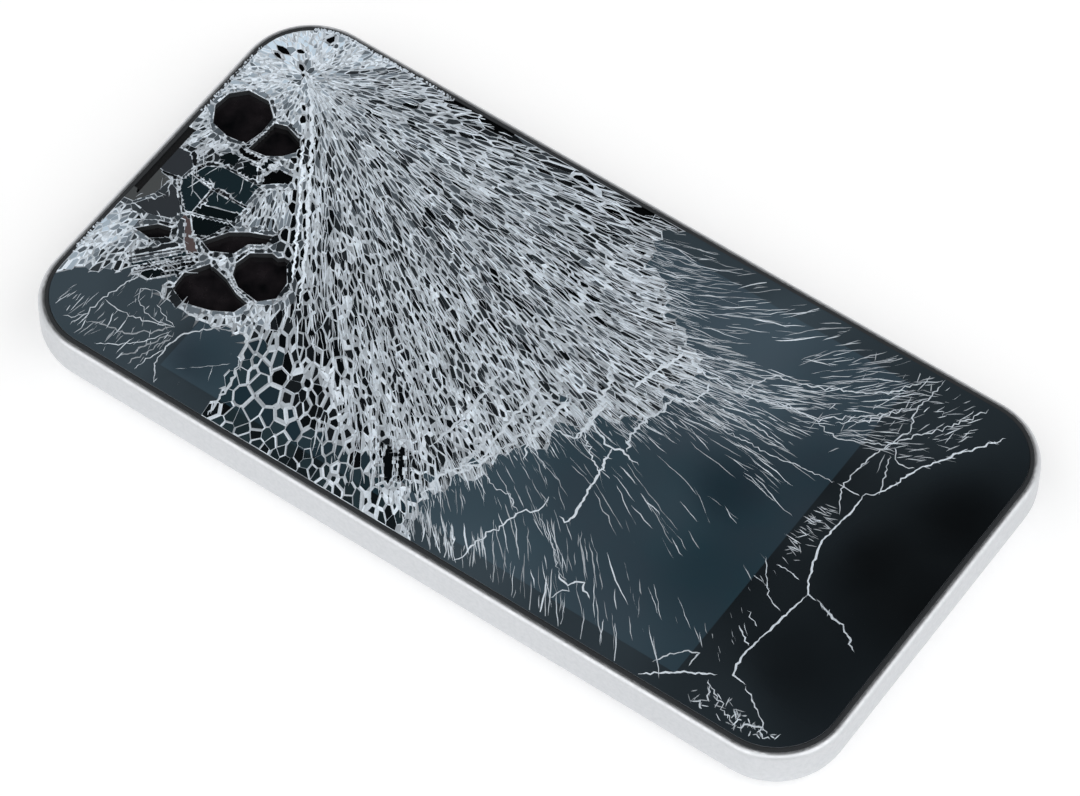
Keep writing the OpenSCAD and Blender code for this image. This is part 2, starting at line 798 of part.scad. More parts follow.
module processor_chips() {
    x = (shield_x0 + shield_x1) / 2;
    color([0.12, 0.12, 0.13]) {
        block([x - 5.5, shield_y0 + 1.5, board_top], [x + 5.5, shield_y0 + 12.5, board_top + 1]);
        block([x - 5, shield_y0 + 14, board_top], [x + 4, shield_y0 + 21, board_top + 0.9]);
        block([x - 5, shield_y0 + 22, board_top], [x + 1, shield_y0 + 26, board_top + 0.8]);
    }
}

module radio_chips() {
    y = (radio_y0 + radio_y1) / 2;
    color([0.12, 0.12, 0.13]) {
        block([board_x0 + 2.2, y - 3.2, board_top], [board_x0 + 8.6, y + 3.2, board_top + 0.9]);
        block([board_x0 + 9.8, y - 2.4, board_top], [board_x0 + 14.4, y + 2.2, board_top + 0.8]);
    }
}

// ---------- battery ----------

module battery() {
    color([0.2, 0.21, 0.23])
        translate([(battery_x0 + battery_x1) / 2, (battery_y0 + battery_y1) / 2, battery_z])
            linear_extrude(battery_top - battery_z)
                plan((battery_x1 - battery_x0) / 2, (battery_y1 - battery_y0) / 2, 1);
}

module battery_tape() {
    color([0.95, 0.95, 0.9])
        block([battery_x0 + 4, battery_y0 + 8, floor_t], [battery_x1 - 4, battery_y1 - 8, battery_z]);
}

module battery_connector() {
    color([0.9, 0.9, 0.85]) block([board_x0 + 0.5, -2, board_top], [board_x0 + 3, 6, board_top + 0.9]);
}

module battery_lead() {
    color(copper) block([battery_x1, -1, board_top + 0.9], [board_x0 + 2.6, 5, board_top + 0.9 + lead_t]);
}

// ---------- flexible leads ----------

// A flat lead: a strip of constant thickness along a path in the y, z plane.
module lead(x, w, path) {
    for (i = [0 : len(path) - 2]) {
        a = path[i];
        b = path[i + 1];
        block([x, min(a[0], b[0]), min(a[1], b[1])],
            [x + w, max(a[0], b[0]) + lead_t, max(a[1], b[1]) + lead_t]);
    }
}

module display_flex() {
    color(copper) lead(display_lead_x, display_lead_w, [
        [-panel_half_l - lead_t, panel_z + 0.1], [lead_slot_y, panel_z + 0.1], [lead_slot_y, lead_z],
        [plug_y0 + plug_l - 0.3, lead_z]]);
}

module sensor_flex() {
    color(copper) lead(sensor_lead_x, sensor_lead_w, [
        [sensor_slot_y, sensor_z - lead_t], [sensor_slot_y, lead_z], [plug_y0 + plug_l - 0.3, lead_z]]);
}

module flex_connectors() {
    color([0.15, 0.15, 0.15]) for (q = [[display_lead_x, display_lead_w], [sensor_lead_x, sensor_lead_w]])
        block([q[0] + 0.3, plug_y0, board_top], [q[0] + q[1] - 0.3, plug_y0 + plug_l, lead_z]);
}

// ---------- mouth end ----------

mesh_t = 0.15;

module speaker_mesh() {
    color([0.15, 0.15, 0.16]) block([speaker_x - speaker_w / 2, speaker_y0 + 1, floor_t],
        [speaker_x + speaker_w / 2, speaker_y1 - 1, floor_t + mesh_t]);
}

module loudspeaker() {
    color(black) difference() {
        block([speaker_x - speaker_w / 2, speaker_y0, floor_t + mesh_t],
            [speaker_x + speaker_w / 2, speaker_y1, roof_z - 0.2]);
        block([speaker_x - speaker_w / 2 + 1.5, speaker_y0 + 1.5, 0],
            [speaker_x + speaker_w / 2 - 1.5, speaker_y1 - 1.5, floor_t + mesh_t + 1]);
    }
}

module microphone() {
    color([0.8, 0.7, 0.35])
        block([mic_x - 1.9, mic_y - 1.5, floor_t + 0.2], [mic_x + 1.9, mic_y + 1.5, floor_t + 1.3]);
}

module microphone_flex() {
    color(copper) difference() {
        block([mic_x - 3, mic_y - 2, floor_t], [mic_x + 3, board_y0 - 1, floor_t + 0.2]);
        translate([mic_x, mic_y, 0]) cylinder(r = 0.4, h = 3);
    }
}

motor_z = floor_t + 0.3 + motor_r;

module vibration_motor() {
    color(steel) {
        translate([motor_x0, motor_y, motor_z]) rotate([0, 90, 0]) cylinder(r = motor_r, h = motor_l);
        translate([motor_x0 + motor_l, motor_y, motor_z]) rotate([0, 90, 0]) cylinder(r = 0.4, h = 1);
    }
}

module motor_bracket() {
    color(steel) difference() {
        block([motor_x0 + 1, motor_y - motor_r - 0.5, floor_t],
            [motor_x0 + motor_l - 1, motor_y + motor_r + 0.5, motor_z]);
        translate([motor_x0 - 1, motor_y, motor_z])
            rotate([0, 90, 0]) cylinder(r = motor_r + 0.02, h = motor_l + 4);
    }
}

// ---------- one node at a time ----------

rear_housing();
bezel_seal();
glass_fragments();
glass_splinters();
touch_sensor();
display_panel();
backlight();
display_frame();
chassis_plate();
chassis_screws();
power_button();
volume_up_button();
volume_down_button();
sim_tray();
sim_card();
sim_socket();
charging_socket();
socket_strap();
socket_screws();
socket_board();
headphone_jack();
camera_ring();
camera_window();
rear_camera();
flash_window();
flash_led();
antenna_window();
antenna_flex();
front_camera();
light_sensor();
earpiece();
earpiece_mesh();
main_board();
board_screws();
processor_shield();
processor_chips();
radio_shield();
radio_chips();
battery();
battery_tape();
battery_lead();
battery_connector();
display_flex();
sensor_flex();
flex_connectors();
switch_bracket();
volume_switches();
power_bracket();
power_switch();
loudspeaker();
speaker_mesh();
microphone();
microphone_flex();
vibration_motor();
motor_bracket();
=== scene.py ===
"""Looks of a slim touchscreen phone with a shattered front glass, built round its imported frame.

Plan measures inside the glass run from the seal's outer corner on the -X side at the earpiece
end: first millimetres down the phone, then millimetres across it. Heights are millimetres too.
"""

import logging
import math
import random
from dataclasses import dataclass, field
from enum import Enum

import bpy
from mathutils import Matrix, Vector
from mathutils.kdtree import KDTree


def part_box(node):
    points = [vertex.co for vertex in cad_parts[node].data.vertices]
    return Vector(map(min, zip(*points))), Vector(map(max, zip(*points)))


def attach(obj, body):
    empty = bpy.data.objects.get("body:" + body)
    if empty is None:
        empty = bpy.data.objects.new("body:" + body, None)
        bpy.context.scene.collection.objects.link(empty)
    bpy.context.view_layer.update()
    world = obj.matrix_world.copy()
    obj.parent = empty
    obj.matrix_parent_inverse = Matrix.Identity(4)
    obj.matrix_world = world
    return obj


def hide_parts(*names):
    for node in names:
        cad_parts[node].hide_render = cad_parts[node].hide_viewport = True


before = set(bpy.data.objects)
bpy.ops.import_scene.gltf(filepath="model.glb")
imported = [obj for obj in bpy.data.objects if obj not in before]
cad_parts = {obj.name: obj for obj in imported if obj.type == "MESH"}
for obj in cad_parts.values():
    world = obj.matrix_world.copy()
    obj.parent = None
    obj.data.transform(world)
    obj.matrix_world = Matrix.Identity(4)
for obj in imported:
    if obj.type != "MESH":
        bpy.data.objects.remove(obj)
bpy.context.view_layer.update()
MM = 0.001
LOG = logging.getLogger("phone")
# They turn a pair of whole numbers into one seed for random numbers
PRIMES = (7919, 104729)

Place3 = tuple[float, float, float]
Point = tuple[float, float]
Ring = list[Point]
Rgba = tuple[float, float, float, float]
Socket = bpy.types.NodeSocket
Tree = bpy.types.NodeTree


# ---------------------------------------------------------------- small helpers


def linear(hex_code: str, alpha: float = 1.0) -> Rgba:
    """Turns an sRGB hex colour into linear light.

    Args:
        hex_code: six hex digits, with or without a leading hash.
        alpha: the fourth value.

    Returns:
        Red, green, blue and alpha.
    """
    digits = hex_code.lstrip("#")
    levels = [int(digits[i : i + 2], 16) / 255 for i in (0, 2, 4)]
    light = [v / 12.92 if v <= 0.04045 else ((v + 0.055) / 1.055) ** 2.4 for v in levels]
    return (light[0], light[1], light[2], alpha)


def add_node(
    tree: Tree, kind: str, values: dict | None = None, links: dict | None = None, **settings: object
) -> bpy.types.Node:
    """Adds a shader node with its settings, socket values and links.

    Args:
        tree: the node tree it goes in.
        kind: Blender's name for the node type.
        values: socket name or number to a fixed value.
        links: socket name or number to the output it is fed from.
        **settings: properties of the node itself.

    Returns:
        The new node.
    """
    made = tree.nodes.new(kind)
    for name, value in settings.items():
        setattr(made, name, value)
    for socket, value in (values or {}).items():
        made.inputs[socket].default_value = value
    for socket, source in (links or {}).items():
        tree.links.new(source, made.inputs[socket])
    return made


def corner_mm(node: str) -> tuple[Place3, Place3]:
    """Gives a CAD node's lowest and highest corner in millimetres, to the micrometre."""
    low, high = (tuple(round(v / MM, 3) for v in corner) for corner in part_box(node))
    return low, high


SEAL_LOW, SEAL_HIGH = corner_mm("bezel_seal")
GLASS_LOW, GLASS_HIGH = corner_mm("glass_fragments")
# The broken pieces' highest corners lie this little below the face of whole glass
SUNK = 0.03
GLASS_TOP = GLASS_HIGH[2] - SUNK


def in_frame(place: Point) -> Point:
    """Turns a plan place, down and across, into the frame's X and Y in millimetres."""
    return place[1] + SEAL_LOW[0], SEAL_HIGH[1] - place[0]


def smooth(low: float, high: float, value: float) -> float:
    """Runs from 0 to 1 with soft ends as value goes from low to high."""
    t = min(1.0, max(0.0, (value - low) / (high - low)))
    return t * t * (3 - 2 * t)


def blend(a: float, b: float, t: float) -> float:
    """Mixes two numbers."""
    return a + (b - a) * t


def blend_places(a: Point, b: Point, t: float) -> Point:
    """Gives the place at share t of the way from a to b."""
    return blend(a[0], b[0], t), blend(a[1], b[1], t)


def frosted(level: float) -> Rgba:
    """Gives the slightly blue white of crushed glass at a level of brightness."""
    return (0.92 * level, 0.98 * level, 1.04 * level, 1.0)


def between(table: list[Point], key: float) -> float:
    """Reads a value off a table, with straight lines between its rows.

    Args:
        table: (key, value) pairs in rising order.
        key: where to read.

    Returns:
        The value there, or the end's value beyond an end.
    """
    if key <= table[0][0]:
        return table[0][1]
    for (k0, v0), (k1, v1) in zip(table, table[1:]):
        if key <= k1:
            return v0 + (v1 - v0) * (key - k0) / (k1 - k0)
    return table[-1][1]


def edges(ring: Ring) -> list[tuple[Point, Point]]:
    """Gives a ring's edges as pairs of corners."""
    return list(zip(ring, ring[1:] + ring[:1]))


def inside(ring: Ring, place: Point) -> bool:
    """Tells whether a place lies inside a ring.

    Args:
        ring: the ring's corners in order.
        place: the place.

    Returns:
        True if it does.
    """
    odd = False
    for (x0, y0), (x1, y1) in edges(ring):
        if (y0 > place[1]) != (y1 > place[1]) and place[0] < (x1 - x0) * (place[1] - y0) / (y1 - y0) + x0:
            odd = not odd
    return odd


def area(ring: Ring) -> float:
    """Gives the area inside a ring."""
    return abs(sum(x0 * y1 - x1 * y0 for (x0, y0), (x1, y1) in edges(ring))) / 2


# ---------------------------------------------------------------- finishes


@dataclass(frozen=True)
class Finish:
    """A surface finish: its base colour, gloss and the fine unevenness of how it was made."""

    name: str
    colour: str
    second: str
    roughness: float = 0.5
    metallic: float = 0.0
    ior: float = 1.5
    grain_mm: float = 1.0
    mottle: float = 0.5
    bump: float = 0.1
    bump_mm: float = 0.02
    roughness_swing: float = 0.08
    # The relief is this much finer than the mottling
    relief_share: float = 0.35
    # The range that most of a noise's values lie in
    noise_range: Point = (0.3, 0.7)

    def material(self) -> bpy.types.Material:
        """Builds the material once and hands the same one out after that.

        Returns:
            The finish's material.
        """
        name = f"{self.name}_finish"
        known = bpy.data.materials.get(name)
        if known:
            return known
        made = bpy.data.materials.new(name)
        made.use_nodes = True
        tree = made.node_tree
        tree.nodes.clear()
        place = add_node(tree, "ShaderNodeTexCoord").outputs["Object"]
        colour, rough, normal = self.surface(tree, place)
        shader = add_node(
            tree,
            "ShaderNodeBsdfPrincipled",
            {"Metallic": self.metallic, "IOR": self.ior},
            {"Base Color": colour, "Roughness": rough, "Normal": normal},
        )
        add_node(tree, "ShaderNodeOutputMaterial", links={"Surface": shader.outputs[0]})
        return made

    def surface(self, tree: Tree, place: Socket) -> tuple[Socket, Socket, Socket]:
        """Makes what feeds the shader.

        Args:
            tree: the material's node tree.
            place: the output that gives the place on the object.

        Returns:
            The colour, roughness and normal outputs.
        """
        grain = self.noise(tree, place, self.grain_mm)
        share = self.stretched(tree, grain, (0.0, self.mottle))
        colour = self.mixed(tree, share, linear(self.colour), linear(self.second))
        return colour, self.rough(tree, grain), self.relief(tree, place)

    def noise(self, tree: Tree, place: Socket, size_mm: float) -> Socket:
        """Makes a noise over a place, with patches about size_mm across, and gives its output."""
        values = {"Scale": 1 / (size_mm * MM), "Detail": 3.0, "Roughness": 0.6}
        return add_node(tree, "ShaderNodeTexNoise", values, {"Vector": place}).outputs["Fac"]

    def stretched(self, tree: Tree, source: Socket, to: Point) -> Socket:
        """Stretches a noise to a new range.

        Args:
            tree: the material's node tree.
            source: the noise's output.
            to: the new range.

        Returns:
            The stretched output.
        """
        low, high = self.noise_range
        values = {"From Min": low, "From Max": high, "To Min": to[0], "To Max": to[1]}
        return add_node(tree, "ShaderNodeMapRange", values, {"Value": source}).outputs[0]

    def mixed(self, tree: Tree, share: Socket, a: object, b: object) -> Socket:
        """Mixes two colours.

        Args:
            tree: the material's node tree.
            share: the output that gives b's share.
            a: a fixed colour or an output.
            b: a fixed colour or an output.

        Returns:
            The mixed colour's output.
        """
        values = {k: v for k, v in ((6, a), (7, b)) if isinstance(v, tuple)}
        links = {k: v for k, v in ((0, share), (6, a), (7, b)) if not isinstance(v, tuple)}
        return add_node(tree, "ShaderNodeMix", values, links, data_type="RGBA").outputs[2]

    def rough(self, tree: Tree, grain: Socket) -> Socket:
        """Varies the roughness a little with the grain."""
        low = max(0.02, self.roughness - self.roughness_swing)
        return self.stretched(tree, grain, (low, self.roughness + self.roughness_swing))

    def relief(self, tree: Tree, place: Socket) -> Socket:
        """Raises the fine unevenness as a bump.

        Args:
            tree: the material's node tree.
            place: the output that gives the place on the object.

        Returns:
            The normal's output.
        """
        fine = self.noise(tree, place, self.grain_mm * self.relief_share)
        values = {"Strength": self.bump, "Distance": self.bump_mm * MM}
        return add_node(tree, "ShaderNodeBump", values, {"Height": fine}).outputs[0]


@dataclass(frozen=True)
class DisplayBehindGlass(Finish):
    """Toughened glass laminated over an unlit display: what shows is the display's dark teal inside a
    black printed border, and in each broken piece the tint that its own cracks give it."""

    half_picture_mm: Point = (24.95, 37.45)
    border: str = "07090B"
    border_light: str = "0F1214"
    # Half the width over which the picture's edge softens
    soft_edge_mm: float = 0.06
    cloud_mm: float = 16.0
    fine_mm: float = 1.2

    def surface(self, tree: Tree, place: Socket) -> tuple[Socket, Socket, Socket]:
        """Adds the border and the broken pieces' own tint to the display's colour.

        Args:
            tree: the material's node tree.
            place: the output that gives the place on the object.

        Returns:
            The colour, roughness and normal outputs.
        """
        share = self.stretched(tree, self.noise(tree, place, self.cloud_mm), (0.0, 1.0))
        display = self.mixed(tree, share, linear(self.colour), linear(self.second))
        border = self.mixed(tree, share, linear(self.border), linear(self.border_light))
        base = self.mixed(tree, self.picture(tree, place), border, display)
        tint = add_node(tree, "ShaderNodeAttribute", attribute_name="tint")
        colour = self.mixed(tree, tint.outputs["Alpha"], base, tint.outputs["Color"])
        fine = self.noise(tree, place, self.fine_mm)
        return colour, self.rough(tree, fine), self.relief(tree, place)

    def picture(self, tree: Tree, place: Socket) -> Socket:
        """Marks the display's picture.

        Args:
            tree: the material's node tree.
            place: the output that gives the place on the object.

        Returns:
            An output that is 1 on the picture and 0 on the border.
        """
        split = add_node(tree, "ShaderNodeSeparateXYZ", links={0: place})
        steps = []
        for axis, half in enumerate(self.half_picture_mm):
            off = add_node(tree, "ShaderNodeMath", links={0: split.outputs[axis]}, operation="ABSOLUTE")
            reach = {"From Min": (half + self.soft_edge_mm) * MM, "From Max": (half - self.soft_edge_mm) * MM}
            step = add_node(tree, "ShaderNodeMapRange", reach, {"Value": off.outputs[0]})
            steps.append(step.outputs[0])
        return add_node(tree, "ShaderNodeMath", links=dict(enumerate(steps)), operation="MULTIPLY").outputs[0]


@dataclass(frozen=True)
class CrushedGlass(Finish):
    """Crushed glass on a crack's walls: white from the light that its many tiny faces scatter."""

    def surface(self, tree: Tree, place: Socket) -> tuple[Socket, Socket, Socket]:
        """Multiplies the crushed white by each crack's own brightness.

        Args:
            tree: the material's node tree.
            place: the output that gives the place on the object.

        Returns:
            The colour, roughness and normal outputs.
        """
        colour, rough, normal = super().surface(tree, place)
        tint = add_node(tree, "ShaderNodeAttribute", attribute_name="tint")
        both = {6: colour, 7: tint.outputs["Color"]}
        toned = add_node(tree, "ShaderNodeMix", {0: 1.0}, both, data_type="RGBA", blend_type="MULTIPLY")
        return toned.outputs[2], rough, normal


# Toughened aluminosilicate glass, fire-polished: a hard clear gloss, dark because the display is off.
SCREEN_GLASS = DisplayBehindGlass(
    "screen_glass", "1B3039", "232D36", roughness=0.06, roughness_swing=0.03, grain_mm=3.0, bump=0.02,
    bump_mm=0.01,
)
# The same glass where it crushed: frosted, slightly blue white.
CRUSHED_GLASS = CrushedGlass(
    "crushed_glass", "F8FAFC", "D8DFE5", roughness=0.45, grain_mm=0.25, mottle=0.8, bump=0.6, bump_mm=0.05
)
# Aluminium, bead blasted and clear anodised: a soft even silver. The blasted grain is 0.05 mm, drawn
# at 0.6 mm, with its relief at a third of that, so that it shows.
ANODISED_ALUMINIUM = Finish(
    "anodised_aluminium", "D6D8DB", "CDD0D3", roughness=0.42, metallic=1.0, grain_mm=0.6, bump=0.12,
    bump_mm=0.01,
)
# Silicone rubber, moulded: a matt dark grey line.
SEAL_RUBBER = Finish("seal_rubber", "1D2023", "2A2D30", roughness=0.85, grain_mm=0.8, bump=0.2)
# Ink on polyester film: what shows where glass has fallen out, black with a brown glue haze.
SENSOR_FILM = Finish(
    "sensor_film", "050608", "1C181B", roughness=0.22, grain_mm=3.5, mottle=0.9, bump=0.3, bump_mm=0.03
)
# Polarising film over the liquid crystal: dark teal, glossy.
POLARISER = Finish("polariser_film", "1E3038", "24373F", roughness=0.15, grain_mm=4.0)
# Polyester light guide, moulded: milky white, satin.
LIGHT_GUIDE = Finish("light_guide_film", "E6E7E3", "DADBD6", roughness=0.4, grain_mm=5.0)
# Glass-filled polycarbonate, moulded: dull black.
POLYCARBONATE = Finish("black_polycarbonate", "141517", "1E1F21", roughness=0.55, grain_mm=0.7, bump=0.25)
# Stainless steel, stamped and tumbled: grey, half bright.
STAINLESS_STEEL = Finish("stainless_steel", "A9AAAD", "96989B", roughness=0.3, metallic=1.0, grain_mm=1.2)
# Glass-epoxy laminate under green solder resist, screen printed: glossy green.
SOLDER_RESIST = Finish("green_solder_resist", "12402B", "1A5238", roughness=0.3, grain_mm=0.9, bump=0.2)
# Polyimide film over etched copper: amber, with the copper's patches under it.
POLYIMIDE = Finish("amber_polyimide", "9A5F22", "7F4A18", roughness=0.3, grain_mm=1.5)
# Moulding epoxy on the chips: matt black.
CHIP_EPOXY = Finish("chip_epoxy", "1A1A1B", "242425", roughness=0.6, grain_mm=0.4, bump=0.2)
# Aluminium-laminate pouch, heat sealed, with a dark sleeve: satin, slightly wavy.
POUCH_FOIL = Finish("pouch_foil", "2B2D31", "34373B", roughness=0.35, grain_mm=2.5, bump=0.3)
# Acrylic tape on its paper, and moulded white plastic: dull white.
WHITE_PLASTIC = Finish("white_plastic", "E4E4E0", "D6D6D1", grain_mm=1.5)
# Optical glass, polished and coated: nearly black, very glossy.
LENS_GLASS = Finish(
    "coated_lens_glass", "0B0D12", "11131C", roughness=0.04, roughness_swing=0.01, ior=1.6, grain_mm=2.0,
    bump=0.0,
)
# Phosphor under frosted silicone: pale yellow.
PHOSPHOR = Finish("flash_phosphor", "EFE3A8", "F5EEC6", roughness=0.35, grain_mm=0.5)
# Steel wire, woven and blackened: dark, with a glint on the wires.
BLACK_MESH = Finish(
    "blackened_mesh", "242527", "101112", metallic=0.6, grain_mm=0.25, mottle=1.0, bump=0.8
)
# Gold, flashed on copper: a warm half gloss.
GOLD_PLATE = Finish("gold_plate", "D9B45C", "C79F49", roughness=0.28, metallic=1.0, grain_mm=0.8)


class Part(Enum):
    """The finishes of the CAD nodes that stay as they are."""

    METAL_BODY = (
        ANODISED_ALUMINIUM,
        ("rear_housing", "power_button", "volume_up_button", "volume_down_button", "sim_tray"),
    )
    SEAL = (SEAL_RUBBER, ("bezel_seal",))
    SENSOR = (SENSOR_FILM, ("touch_sensor",))
    DISPLAY = (POLARISER, ("display_panel",))
    LIGHT = (LIGHT_GUIDE, ("backlight",))
    PLASTIC = (
        POLYCARBONATE,
        (
            "display_frame", "headphone_jack", "rear_camera", "antenna_window", "front_camera", "earpiece",
            "flex_connectors", "loudspeaker",
        ),
    )
    STEEL = (
        STAINLESS_STEEL,
        (
            "chassis_plate", "chassis_screws", "sim_socket", "charging_socket", "socket_strap",
            "socket_screws", "camera_ring", "board_screws", "processor_shield", "radio_shield",
            "switch_bracket", "power_bracket", "vibration_motor", "motor_bracket",
        ),
    )
    BOARD = (SOLDER_RESIST, ("main_board", "socket_board"))
    FLEX = (POLYIMIDE, ("battery_lead", "display_flex", "sensor_flex", "microphone_flex", "antenna_flex"))
    CHIP = (CHIP_EPOXY, ("processor_chips", "radio_chips", "light_sensor"))
    BATTERY = (POUCH_FOIL, ("battery",))
    WHITE = (WHITE_PLASTIC, ("battery_tape", "sim_card", "battery_connector"))
    LENS = (LENS_GLASS, ("camera_window",))
    FLASH = (PHOSPHOR, ("flash_window", "flash_led"))
    MESH = (BLACK_MESH, ("earpiece_mesh", "speaker_mesh"))
    GOLD = (GOLD_PLATE, ("microphone", "power_switch", "volume_switches"))


# ---------------------------------------------------------------- mesh building


@dataclass
class MeshBook:
    """Collects points and faces, with a finish number and a tint for each face."""

    points: list[Place3] = field(default_factory=list)
    faces: list[tuple[int, ...]] = field(default_factory=list)
    finish_numbers: list[int] = field(default_factory=list)
    tints: list[Rgba | list[Rgba]] = field(default_factory=list)

    def add_points(self, places: list[Place3]) -> int:
        """Adds points.

        Args:
            places: the points, in millimetres.

        Returns:
            The first one's number.
        """
        first = len(self.points)
        self.points.extend((x * MM, y * MM, z * MM) for x, y, z in places)
        return first

    def add_face(self, corners: tuple[int, ...], number: int, tint: Rgba | list[Rgba]) -> None:
        """Adds a face.

        Args:
            corners: the numbers of its points.
            number: the number of its finish.
            tint: one tint, or one for each corner.
        """
        self.faces.append(corners)
        self.finish_numbers.append(number)
        self.tints.append(tint)

    def piece(self, name: str, finishes: list[Finish]) -> bpy.types.Object:
        """Makes the Blender object.

        Args:
            name: the piece's name.
            finishes: the finishes that the finish numbers stand for.

        Returns:
            The new object, linked to the scene.
        """
        mesh = bpy.data.meshes.new(name)
        mesh.from_pydata(self.points, [], self.faces)
        for finish in finishes:
            mesh.materials.append(finish.material())
        mesh.polygons.foreach_set("material_index", self.finish_numbers)
        layer = mesh.color_attributes.new("tint", "FLOAT_COLOR", "CORNER")
        spread = []
        for face, tint in zip(self.faces, self.tints):
            corners = tint if isinstance(tint, list) else [tint] * len(face)
            spread.extend(value for one in corners for value in one)
        layer.data.foreach_set("color", spread)
        mesh.update()
        made = bpy.data.objects.new(name, mesh)
        bpy.context.scene.collection.objects.link(made)
        LOG.info("%s: %d triangles", name, sum(len(face) - 2 for face in self.faces))
        return made


# ---------------------------------------------------------------- the break


class Look(Enum):
    """How the top of a piece of glass looks: its tint, and how much that hides what lies below."""

    CLEAR = ("000000", 0.0)
    BLACK = ("050607", 0.95)
    DARK = ("0C1417", 0.93)
    TEAL = ("1B2A30", 0.85)
    GREY = ("35393E", 0.9)
    BROWN = ("5A4E4E", 0.9)
    PALE = ("4E5152", 0.9)
    LOST = ("000000", 1.0)

    @property
    def tint(self) -> Rgba:
        """Gives the tint as linear light with its share."""
        return linear(*self.value)


@dataclass
class Plate:
    """A larger piece of glass, or a hole where one is lost, by its corners in plan."""

    corners: Ring
    look: Look
    crack: float = 0.2

    def holds(self, place: Point) -> bool:
        """True if a place lies inside the plate."""
        return inside(self.corners, place)


@dataclass
class Cell:
    """One larger piece among the splinters: its middle, half length, half width, direction and look."""

    place: Point
    half: Point
    turn: float
    look: Look


@dataclass
class Grain:
    """How the glass broke near a place: the pieces' width and length, their milkiness and the crack share."""

    place: Point
    across: float
    along: float
    milk: float
    share: float = 0.45


@dataclass
class Seed:
    """The point that one piece of glass grows round. Seeds of one group make one piece.

    Group 0 is the clear rest, a group above 0 is a plate's number, one from EDGE down is the long
    splinter along a plate's edge, and one from LOOSE down is a splinter or cell of its own.
    """

    place: Point
    group: int
    across: float
    along: float
    angle: float = 0.0
    grain: Grain | None = None
    cell: Cell | None = None

    EDGE = -1000
    LOOSE = -10000

    @property
    def is_plate(self) -> bool:
        """True for a part of a plate."""
        return self.group > 0

    @property
    def is_edge(self) -> bool:
        """True for a splinter along a plate's edge."""
        return Seed.LOOSE < self.group < 0

    @property
    def is_loose(self) -> bool:
        """True for a splinter or cell of its own."""
        return self.group <= Seed.LOOSE

    def turned(self, dx: float, dy: float) -> Point:
        """Gives the parts of a step, dx down and dy across, that go along the piece and across it."""
        cos, sin = math.cos(self.angle), math.sin(self.angle)
        return dx * cos + dy * sin, dy * cos - dx * sin


